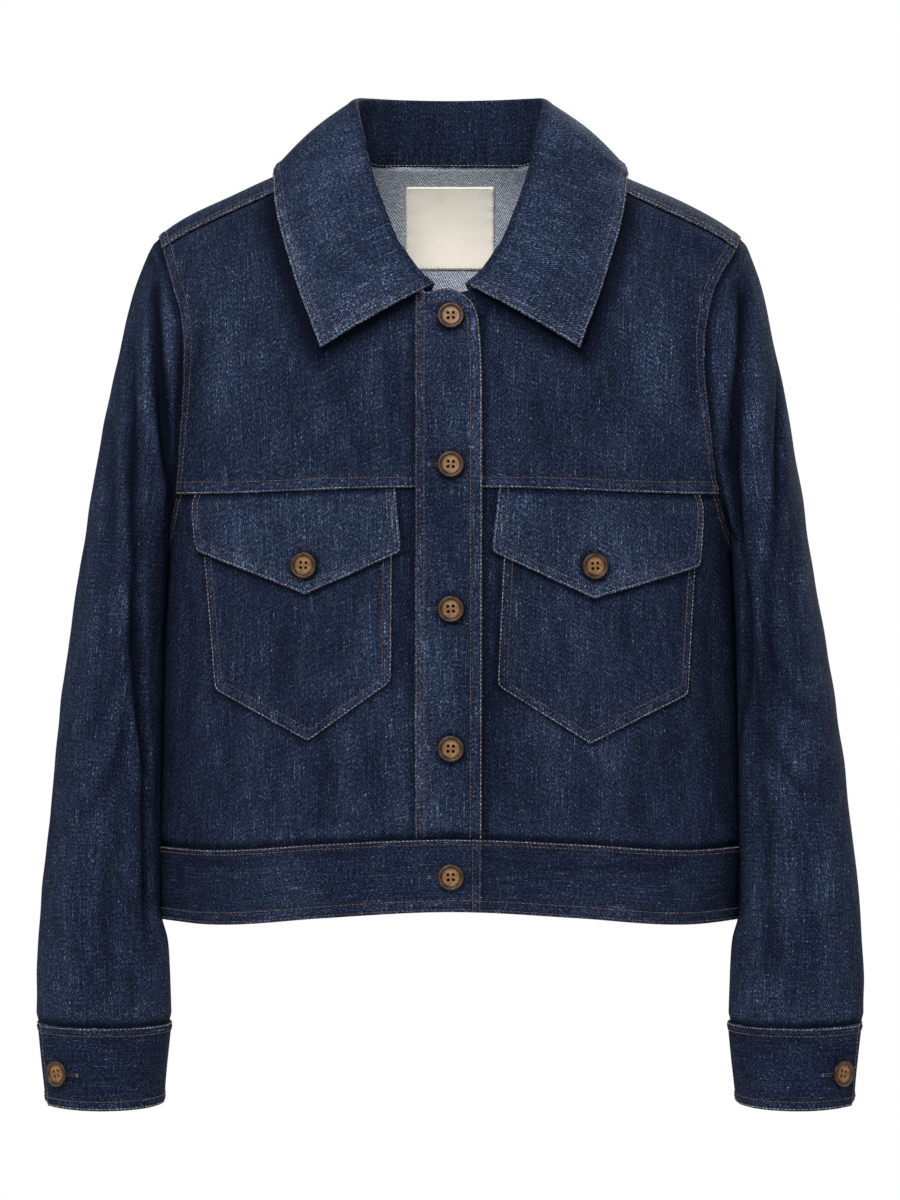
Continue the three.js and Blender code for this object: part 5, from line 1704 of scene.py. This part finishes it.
def make_sleeve(side):
    dense = np.linspace(SLEEVE_SEAM - 360, SLEEVE_SEAM, 721)
    run = lengths(sleeve_point(side, np.full(dense.size, 0.4), dense))
    turns = np.interp(spaced(run[-1]) * run[-1], run, dense)
    dense = np.linspace(0, 1, 241)
    run = lengths(sleeve_point(side, dense, np.full(dense.size, 60.0)))
    down = np.interp(spaced(run[-1], step=3.6) * run[-1], run, dense)
    point = sleeve_point(side, *np.meshgrid(down, turns, indexing="ij"))
    under = np.stack([sleeve_seam(side, turns % 360, inward) for inward in HEAD_TUCK])
    out = facing(point)
    if ((point - point.mean(1, keepdims=True)) * out).sum() < 0:
        out = -out
    under_out = skin_out(place(under[..., 0], under[..., 2], np.where(turns % 360 > 180, BACK, FRONT)))
    for _ in range(OUT_SMOOTHING):
        out[:, 1:-1] = unit(out[:, :-2] + out[:, 1:-1] + out[:, 2:])
    point, out = np.concatenate([under, point]), np.concatenate([under_out, out])
    flat = sleeve_flat(side, point, turns)
    whole = zone(point, out, flat, SKIN_FACE)
    whole["beyond"][:2] = np.array(HEAD_TUCK)[:, None]
    whole = tuck(tuck(whole, "bottom"), "left", SLEEVE_SEAM_TUCK)
    seams = [
        seam(point[2], lay="under"),
        seam(flat[-1], lay="under"),
        seam(flat[2:, 0], lay="under"),
        seam(flat[2:, -1], rows=(1.2, 6.6), rise=0.45),
        shadow(on_sleeve(side, FRONT, SLEEVE_PINCH[side]), -0.6, 1.1),
        *[shadow(on_sleeve(side, FRONT, line), dark, wide) for line, dark, wide in SLEEVE_VALLEYS[side]],
    ]
    looks = {"drape": sleeve_drape(side), "light": 0.15, "allowance": SLEEVE_FACING}
    piece("sleeve_" + side, [whole], SLEEVE_CLOTH, seams, SINGLE_CLOTH, ["back", "yoke_" + side], **looks)


def make_cuff(side):
    sign = SIDES[side]
    dense = np.linspace(CUFF_LAP["under"], CUFF_LAP["edge"] - 360, 811)
    run = lengths(cuff_point(side, dense, 0.5)[0])
    turns = np.interp(spaced(run[-1]) * run[-1], run, dense)
    u = sign * np.interp(turns, dense[::-1], run[::-1])
    down = spaced(CUFF_HEIGHT)[:, None]
    point, out = cuff_point(side, turns[None, :], down)
    ramp = (CUFF_LAP["ramp"] - 360 - turns) / (CUFF_LAP["ramp"] - CUFF_LAP["full"])
    lift = np.where(turns < CUFF_LAP["edge"] - 180, LAP_LIFT * eased(ramp), 0)
    flat = np.stack(np.broadcast_arrays(u, -down * CUFF_HEIGHT), -1)
    whole = zone(point, out, flat, CUFF_FACE + lift)
    seams = [
        seam(flat[0], rows=(1.0, 5.6), rise=0.25, pucker=0.3),
        seam(flat[-1], rows=(1.4, 6.2), rise=0.35),
        seam(flat[:, -1], rows=(1.4,), pale=0, rise=0.3),
        seam(flat[:, 0], rows=(), rise=-0.3),
    ]
    looks = {"drape": lambda points: swells("cuff_" + side, points), "turned": True, "light": -0.4}
    piece("cuff_" + side, [whole], FOLDED_CLOTH, seams, DOUBLE_CLOTH, ["sleeve_" + side], **looks)


def make_waistband():
    def s_at(x):
        return float(place(x, WAIST_Z, FRONT)[0])

    # From the left front's edge, round the back, to its lap over the left front
    ways = [(s_at(STAND_EDGE), 1, FRONT, False), (1, -1, BACK, False), (-1, s_at(PLACKET_EDGES[1]), FRONT, True)]
    dense = [[np.linspace(a, b, 400), np.full(400, face), np.full(400, laps)] for a, b, face, laps in ways]
    s, face, laps = np.concatenate([dense[0], *[np.array(way)[:, 1:] for way in dense[1:]]], axis=1)
    run = lengths(skin(s, face * WAIST_DOWN))
    at = spaced(run[-1]) * run[-1]
    pick = np.clip(np.searchsorted(run, at), 0, len(run) - 1)
    s, face, laps = np.interp(at, run, s), face[pick], laps[pick]
    down = spaced(BAND_HEIGHT)[:, None]
    places = at_height(s, lerp(waist_z(s, "seam"), waist_z(s, "hem"), down), face)
    point = on_skin(places)
    lift = LAP_LIFT * eased((point[..., 0] - LAP_RAMP[0]) / (LAP_RAMP[1] - LAP_RAMP[0])) * laps
    flat = np.stack(np.broadcast_arrays(at - run[-1] / 2, -down * BAND_HEIGHT), -1)
    whole = zone(point, skin_out(places), flat, BAND_FACE + lift)
    seams = [
        seam(flat[0], rows=(0.9, 3.6), rise=0.4, pucker=0.35, rope=0.2),
        seam(flat[-1], rows=(1.9, 8.2), pale=0, rise=0.3, rope=0.2),
        seam(flat[:, -1], rows=(1.6, 6.4), pale=0, rise=0.3),
        seam(flat[:, 0], rows=(1.6,), pale=0, rise=0.0),
    ]
    looks = {"drape": body_drape, "turned": True, "light": -0.3}
    piece("waistband", [whole], FOLDED_CLOTH, seams, DOUBLE_CLOTH, ["back", "front_right"], **looks)


def button_shadow(x, z):
    """A painted shadow: the darker cloth round a button in the front view."""
    turn = np.linspace(0, 2 * np.pi, 25)
    line = place(x + BUTTON_SHADE * np.cos(turn), z - BUTTON_SHADE_DROP + BUTTON_SHADE * np.sin(turn), FRONT)
    return shadow(laid_flat(line), 1.1, 1.9)


def make_placket():
    x = np.linspace(PLACKET_EDGES[0], PLACKET_TOP["x"][-1], 60)
    top_line = place(x, smooth(PLACKET_TOP, "z", x), FRONT)
    foot_z = float(waist_z(place(0, WAIST_Z, FRONT)[0], "seam"))
    z = np.linspace(PLACKET_SIDE["z"][0], foot_z, 400)
    free = place(smooth(PLACKET_SIDE, "x", z), z, FRONT)
    sewn = down_line(PLACKET_EDGES[0], PLACKET_TOP["z"][0], foot_z, count=400)
    foot = straight(sewn[-1], free[-1])
    corner = 0.5 * (free[:1] + top_line[-1:])
    top_line[-1], free[0] = corner[0], corner[0]
    across, down = spaced(run_of(foot)), spaced(run_of(sewn))
    top, bottom, left, right = along(top_line, across), along(foot, across), along(sewn, down), along(free, down)
    places = fill(top, bottom, left, right)
    whole = skin_zone(places, FRONT, PLACKET_FACE)
    x, z = whole["point"][..., 0], whole["point"][..., 2]
    (side_depth, side_fade), (foot_depth, foot_fade) = PLACKET_SINK
    sunk_and_painted_shade = side_depth * (1 - eased((x - PLACKET_EDGES[0]) / side_fade))
    sunk_and_painted_shade = sunk_and_painted_shade + foot_depth * (1 - eased((z - foot_z) / foot_fade))
    whole["level"] = PLACKET_FACE - sunk_and_painted_shade
    whole = tuck(whole, "bottom")
    seams = [
        seam(laid_flat(sewn), rows=(1.2, 6.4), pale=0, rise=0.25),
        seam(laid_flat(np.concatenate([top_line, free[1:]])), rows=(1.1, 8.2), rise=0.35, rope=0.18),
        seam(laid_flat(foot), lay="under"),
        *[shadow(leaf_line(side), 1.0, 6) for side in SIDES],
        *[button_shadow(FRONT_BUTTON_X, z) for z in FRONT_BUTTONS[:-1]],
    ]
    looks = {"drape": body_drape, "light": 0.15}
    piece("placket", [whole], PLACKET_CLOTH, seams, DOUBLE_CLOTH, ["front_right", "yoke_right"], **looks)


CORNER_ROUND = 0.8  # how far a corner of a pocket or flap is taken in
CORNER_REACH = 2.4


def make_patch(node, top, foot, level, thickness, how, over, materials, hangs_from, light=0.0):
    """A pocket or flap: top is its top line in the front view, foot its three corners, level its
    face's height or that by the way down, how its free edge is made up, and over a painted shadow on it."""
    outer, tip, inner = (np.array(corner, float) for corner in foot)
    height = (np.abs(top[0, 1] - outer[1]) + np.abs(tip[1] - top[:, 1].mean())) / 2
    first = spaced(np.linalg.norm(tip - outer), True, False)
    second = spaced(np.linalg.norm(inner - tip), False, True)
    foot_row = np.concatenate([lerp(outer, tip, first[:, None]), lerp(tip, inner, second[1:, None])])
    sizes = np.linalg.norm(tip - outer), np.linalg.norm(inner - tip)
    share = np.concatenate([first * sizes[0], sizes[0] + second[1:] * sizes[1]]) / sum(sizes)
    top_row = np.stack([np.interp(share, np.linspace(0, 1, len(top)), column) for column in top.T], -1)
    down = spaced(height)[:, None, None]
    at = lerp(top_row[None], foot_row[None], down)
    for corner, beside, above in ((outer, tip, top[0]), (inner, tip, top[-1])):
        inward = unit(unit(beside - corner) + unit(above - corner))
        apart = np.linalg.norm(at - corner, axis=-1, keepdims=True)
        at = at + inward * CORNER_ROUND * bell(apart, CORNER_REACH)
    whole = skin_zone(place(at[..., 0], at[..., 1], FRONT), FRONT)
    drops = top_row[None, :, 1] - at[..., 1]
    whole["level"] = level(drops) if callable(level) else np.full(drops.shape, level)
    flat = whole["flat"]
    edge = free_edge(flat)
    whole = tuck(whole, "top")
    seams = [seam(edge, **how), seam(flat[0], lay="under"), over]
    piece(node, [whole], thickness, seams, materials, hangs_from, drape=body_drape, light=light)


def make_pocket(side):
    shape = POCKETS[side]
    top = straight(*np.array(shape["top"], float), count=20)
    how = {"rows": (1.0, 6.8), "rise": 0.45, "rope": 0.2}
    over = shadow(outline(FLAPS[side]), 1.0, 3.2)
    hangs_from = ["front_" + side]
    make_patch("pocket_" + side, top, shape["foot"], POCKET_FACE, POCKET_CLOTH, how, over, SINGLE_CLOTH, hangs_from)


def make_flap(side):
    shape = FLAPS[side]
    ends = np.array(shape["top"], float)
    x = np.linspace(ends[0, 0], ends[1, 0], 40)
    top = np.stack([x, yoke_z(x)], -1)

    def level(down):
        seam_rise = (FLAP_SEAM_FACE - FLAP_ROOT_FACE) * eased(down / 5)
        return FLAP_ROOT_FACE + seam_rise + (FLAP_FACE - FLAP_SEAM_FACE) * eased(down / 17)

    how = {"rows": (1.3, 7.0), "rise": 0.4, "rope": 0.2}
    over = button_shadow(*FLAP_BUTTONS[side])
    # The flap's tone is made paler by 0.45: painted light, as it tilts up towards the lamps.
    make_patch("flap_" + side, top, shape["foot"], level, FLAP_CLOTH, how, over, DOUBLE_CLOTH, ["yoke_" + side], 0.45)


STAND_PLAIN = 14  # columns at each end of the stand that carry no stitches
FREE_ROW = 14  # the first row whose ends are free, at the top of the fold
FALL_LENGTH = 88
COLLAR_CENTRE = (0, 5)
COLLAR_CREASED = ((62, 25), (-135, 10))  # from where its drape sets in: away from the centre, and up


def make_collar():
    dense = np.linspace(COLLAR["turn"][0], 180, 341)
    folds, edges = collar_run(dense)
    run = (lengths(edges) * 2 + lengths(folds)) / 3
    turns = np.interp(spaced(run[-1], True, False) * run[-1], run, dense)
    fall_shares = spaced(FALL_LENGTH, False, True)
    half = np.array([collar_section(turn, fall_shares) for turn in turns])
    flip = half[:-1][::-1] * (-1, 1, 1)
    sections = np.concatenate([half, flip])  # from the left front round to the right front
    point = sections.swapaxes(0, 1)
    out = facing(point)
    leaf = point[-20:]
    if (out[-20:] * (leaf - leaf.mean((0, 1)))).sum() < 0:
        out = -out
    steps = np.linalg.norm(np.diff(point, axis=0), axis=-1)
    drops = np.concatenate([np.zeros((1, point.shape[1])), np.cumsum(steps, axis=0)])
    flat = np.stack([np.broadcast_to(lengths(point[FALL_ROW + 1]), drops.shape), drops], -1)
    whole = zone(point, out, flat, COLLAR_FACE)
    rows = np.arange(len(point))
    on_stand = np.broadcast_to((rows < STAND_ROWS)[:, None], drops.shape).copy()
    on_stand[:, :STAND_PLAIN] = on_stand[:, -STAND_PLAIN:] = False
    seams = [
        seam(free_edge(point[FREE_ROW:]), rows=(1.3, 7.0), rise=0.4, rope=0.22, pucker=0.35),
        seam(point[0], rows=(1.8,), rise=0.25, rope=0.05, pucker=0.1, only=on_stand),
    ]
    # Painted light on the collar's fall; its stand is made a little darker.
    light = np.repeat(np.where(rows > FREE_ROW, 0.45, -0.1), point.shape[1])
    lines = []
    for side, sign in SIDES.items():
        for shape, width, depth in COLLAR_CREASES[side]:
            line = []
            for turn, share in curved(*shape):
                section = collar_section(turn, fall_shares)
                line.append(section[int(round(share * (len(section) - 1)))] * (sign, 1, 1))
            lines.append((np.array(line), width, depth))

    def drape(points):
        (away, away_fade), (foot, foot_fade) = COLLAR_CREASED
        out = eased((np.linalg.norm(points[:, :2] - COLLAR_CENTRE, axis=1) - away) / away_fade)
        return (creased(points, lines) + swells("collar", points)) * out * eased((points[:, 2] - foot) / foot_fade)

    looks = {"drape": drape, "light": light}
    piece("collar", [whole], FOLDED_CLOTH, seams, DOUBLE_CLOTH, ["back", "yoke_right", "yoke_left"], **looks)


def make_label():
    x = np.linspace(-LABEL["half_width"], LABEL["half_width"], 36)
    z = np.linspace(LABEL["top"], LABEL["foot"], 34)
    places = place(x[None, :], z[:, None], BACK)
    flat = laid_flat(places)
    whole = zone(on_skin(places), -skin_out(places), flat, LABEL_FACE)
    edge = np.concatenate([free_edge(flat), flat[0, ::-1][1:]])
    seams = [seam(edge, rows=(1.3,), rise=0.0, rope=0.0, pucker=0.25)]
    cloth = (MATERIALS["label"], MATERIALS["label"])
    piece("label", [whole], LABEL_CLOTH, seams, cloth, ["back"], slot="label_cloth", cotton="label")


make_back()
for side in SIDES:
    for make in (make_yoke, make_front, make_sleeve, make_cuff, make_pocket, make_flap):
        make(side)
for make in (make_waistband, make_placket, make_collar, make_label):
    make()

# ---------------------------------------------------------------- buttonholes and buttons


HOLE_LENGTH = 21.0
HOLE_HALF_WIDTH = 1.15
HOLE_THREAD_RADIUS = 0.24
HOLE_LIFT = np.array([-0.1, 0.22, 0.22, -0.1])


def hole(node, name, centre, way, out):
    """A worked buttonhole: satin stitches round a slit, on a cloth at a point."""
    aside = unit(np.cross(out, way))
    rng = np.random.default_rng(len(name))
    half, wide = HOLE_LENGTH / 2, HOLE_HALF_WIDTH
    starts, ends, tone = [], [], []
    for t in np.arange(-half, half, 0.42):
        for edge in (-1, 1):
            starts.append(centre + way * t + aside * edge * 0.25)
            ends.append(centre + way * (t + rng.uniform(-0.1, 0.1)) + aside * edge * (wide + rng.uniform(0, 0.25)))
            tone.append(rng.uniform(0.2, 0.75))
    for end in (-1, 1):
        for t in np.arange(-wide, wide, 0.4):
            starts.append(centre + way * end * (half - 0.3) + aside * t)
            ends.append(starts[-1] + way * end * 1.9)
            tone.append(0.8)
    starts, ends = np.array(starts), np.array(ends)
    way = unit(ends - starts)
    aside = unit(np.cross(way, out))[:, None]
    middle = lerp(starts[:, None], ends[:, None], STITCH_STEPS[None, :, None]) + out * HOLE_LIFT[None, :, None]
    points = rings_round(middle, aside, np.broadcast_to(out, aside.shape), HOLE_THREAD_RADIUS)
    follow(node, stitch_mesh(name, points, tone, MATERIALS["hole"]))


# From the middle of the back, over the rim, to the middle of the front: radius and height
DISC_OUTLINE = [
    (0.0, 0.0), (7.9, 0.0), (8.9, 0.35), (9.4, 1.1), (9.5, 1.8), (9.35, 2.5), (8.95, 3.05), (8.35, 3.35),
    (7.75, 3.3), (7.25, 3.0), (6.85, 2.55), (6.5, 2.25), (6.1, 2.1), (5.0, 2.05), (3.2, 2.2), (0.0, 2.3),
]
EYE_APART = 1.85  # of the thread's four holes from the middle, each way
EYE_RADIUS = 1.12


def mesh_of(name, made):
    """A mesh from a bmesh, which is freed."""
    mesh = bpy.data.meshes.new(name)
    made.to_mesh(mesh)
    made.free()
    return mesh


def horn_disc():
    """A four-hole button standing on its back face, with a rounded rim and a dished middle."""
    angle = np.linspace(0, 2 * np.pi, 65)[:-1]
    made = bmesh.new()
    rings = []
    for radius, height in DISC_OUTLINE:
        spots = [(0, 0)] if radius == 0 else [(radius * np.cos(a), radius * np.sin(a)) for a in angle]
        rings.append([made.verts.new((x * MM, y * MM, height * MM)) for x, y in spots])
    for low, high in zip(rings, rings[1:]):
        for k in range(len(angle)):
            n = (k + 1) % len(angle)
            corners = [low[k % len(low)], low[n % len(low)], high[n % len(high)], high[k % len(high)]]
            made.faces.new(list(dict.fromkeys(corners)))
    bmesh.ops.recalc_face_normals(made, faces=made.faces)
    for face in made.faces:
        face.smooth = True
    disc = add("horn_disc", mesh_of("horn_disc", made))
    drills = []
    for x, y in ((-1, -1), (-1, 1), (1, -1), (1, 1)):
        made = bmesh.new()
        centre = Matrix.Translation((x * EYE_APART * MM, y * EYE_APART * MM, 0))
        size = {"radius1": EYE_RADIUS * MM, "radius2": EYE_RADIUS * MM, "depth": 12 * MM}
        bmesh.ops.create_cone(made, cap_ends=True, segments=20, matrix=centre, **size)
        drills.append(add("drill", mesh_of("drill", made)))
        cut = disc.modifiers.new("hole", "BOOLEAN")
        cut.operation, cut.object, cut.solver = "DIFFERENCE", drills[-1], "EXACT"
    bpy.context.view_layer.update()
    made_mesh = bpy.data.meshes.new_from_object(disc.evaluated_get(bpy.context.evaluated_depsgraph_get()))
    made_mesh.materials.clear()
    made_mesh.materials.append(MATERIALS["horn"])
    for thing in [disc, *drills]:
        bpy.data.objects.remove(thing)
    return made_mesh


DISC = horn_disc()


def button(node, at, out, turn):
    """A button for a node, on cloth whose face is at a point."""
    right = unit(np.cross((0, 0, 1), out))
    up = np.cross(out, right)
    cos, sin = np.cos(np.radians(turn)), np.sin(np.radians(turn))
    axes = np.stack([cos * right + sin * up, cos * up - sin * right, out], -1)
    made = add(node + "_horn", DISC.copy())
    placed = Matrix([[*row] for row in axes.tolist()]).to_4x4()
    placed.translation = Vector(((at + out * BUTTON_SEAT) * MM).tolist())
    made.matrix_world = placed
    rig.ride(made, "root")
    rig.replaces(made, node)
    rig.slot(made, "horn")


def on_body(x, z, level):
    """A point over the body's cloth in the front view, and the way out and up there."""
    places = place(x, z, FRONT)
    out = skin_out(places)
    point = on_skin(places) + out * level
    across = unit(np.cross((0, 0, 1.0), out))
    return point, out, across, np.cross(out, across)


# The middle of a buttonhole from its button: across, up, and in degrees round the cuff
FRONT_HOLE_SHIFT = -4.0
FLAP_HOLE_SHIFT = 8
CUFF_HOLE_SHIFT = 6.5
FRONT_BUTTON_TURNS = (2, -3, 4, -2, 3)
FLAP_BUTTON_TURN, CUFF_BUTTON_TURN = 3, -9

for k, (z, turn) in enumerate(zip(FRONT_BUTTONS, FRONT_BUTTON_TURNS), 1):
    on_band = k == len(FRONT_BUTTONS)
    level = BAND_FACE + LAP_LIFT if on_band else PLACKET_FACE
    point, out, _, _ = on_body(FRONT_BUTTON_X, z, level)
    button("button_front_%d" % k, point, out, turn)
    point, out, across, _ = on_body(FRONT_BUTTON_X + FRONT_HOLE_SHIFT, z, level)
    hole("waistband" if on_band else "placket", "buttonhole_front_%d" % k, point, across, out)
for side, (x, z) in FLAP_BUTTONS.items():
    point, out, _, _ = on_body(x, z, FLAP_FACE)
    button("button_flap_" + side, point, out, FLAP_BUTTON_TURN * SIDES[side])
    point, out, _, up = on_body(x, z + FLAP_HOLE_SHIFT, FLAP_FACE)
    hole("flap_" + side, "buttonhole_flap_" + side, point, up, out)
    spots = [
        cuff_point(side, np.array(CUFF_BUTTON[0] + shift), np.array(CUFF_BUTTON[1]), LAP_LIFT + CUFF_FACE)
        for shift in (0.0, CUFF_HOLE_SHIFT, CUFF_HOLE_SHIFT + 1)
    ]
    button("button_cuff_" + side, *spots[0], CUFF_BUTTON_TURN * SIDES[side])
    hole("cuff_" + side, "buttonhole_cuff_" + side, spots[1][0], unit(spots[2][0] - spots[1][0]), spots[1][1])

for node, (cloth, widths, area, hangs_from) in SHEETS.items():
    size = tuple(float(w) * MM for w in widths)
    share = min(float(area) * MM * MM, 0.999 * size[0] * size[1])
    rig.sheet(cloth, flat=size, area=share, held="hung", rests_on=hangs_from, with_pieces=FOLLOWERS[node])
    print("sheet", node, [round(w, 3) for w in size], round(share, 4))

# ---------------------------------------------------------------- camera, light and floor

LOOK_Z = -308 * MM
FRAME_HEIGHT = 0.84
CAMERA_AWAY = 30.0
SENSOR = 36.0

camera_data = bpy.data.cameras.new("camera")
camera_data.lens = SENSOR * CAMERA_AWAY / FRAME_HEIGHT
camera_data.sensor_width = SENSOR
camera_data.clip_end = 100
camera = add("camera", camera_data)
camera.location = (0, -CAMERA_AWAY - 0.1, LOOK_Z)
camera.rotation_euler = (np.pi / 2, 0, 0)
bpy.context.scene.camera = camera


def lamp(name, place_at, aim, size, watts):
    light = bpy.data.lights.new(name, "AREA")
    light.shape = "DISK"
    light.size, light.energy = size, watts
    thing = add(name, light)
    thing.location = place_at
    thing.rotation_euler = (Vector(aim) - Vector(place_at)).to_track_quat("-Z", "Y").to_euler()


CENTRE = (0, 0, -0.3)
lamp("key", (-1.0, -4.2, 3.0), CENTRE, 2.2, 390)
lamp("front", (0.5, -6.0, 0.7), CENTRE, 2.4, 90)
lamp("top", (0, 0.2, 3.4), CENTRE, 2.2, 40)
lamp("side_left", (-4.2, -0.6, 1.0), CENTRE, 2.4, 60)
lamp("side_right", (4.2, -0.6, 1.0), CENTRE, 2.4, 60)
lamp("behind", (1.4, 4.4, 2.8), CENTRE, 2.6, 380)

world = bpy.data.worlds.new("studio")
world.use_nodes = True
bpy.context.scene.world = world
nodes, links = world.node_tree.nodes, world.node_tree.links
nodes.clear()
output = nodes.new("ShaderNodeOutputWorld")
chosen = nodes.new("ShaderNodeMixShader")
ray = nodes.new("ShaderNodeLightPath")
soft, seen = nodes.new("ShaderNodeBackground"), nodes.new("ShaderNodeBackground")  # light, and what is seen
soft.inputs["Color"].default_value = (0.93, 0.96, 1.0, 1)
soft.inputs["Strength"].default_value = 0.36
seen.inputs["Color"].default_value = (1, 1, 1, 1)
links.new(ray.outputs["Is Camera Ray"], chosen.inputs[0])
links.new(soft.outputs[0], chosen.inputs[1])
links.new(seen.outputs[0], chosen.inputs[2])
links.new(chosen.outputs[0], output.inputs["Surface"])

bpy.context.scene.view_settings.view_transform = "Standard"

FLOOR_Z = -1.28
circle = bmesh.new()
bmesh.ops.create_circle(circle, cap_ends=True, segments=96, radius=2.4, matrix=Matrix.Translation((0, 0, FLOOR_Z)))
floor = add("floor", mesh_of("floor", circle))
paper = Graph("pale_floor", Roughness=0.9, Specular_IOR_Level=0.1)
paper.feed(paper.shader.inputs["Base Color"], (0.82, 0.82, 0.81, 1))
floor.data.materials.append(paper.material)
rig.stage(floor)

with open("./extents.json", "w") as size_file:
    json.dump({"cad": [list(corner) for corner in cad_box], "visual": [list(corner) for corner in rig.bounds()]}, size_file)
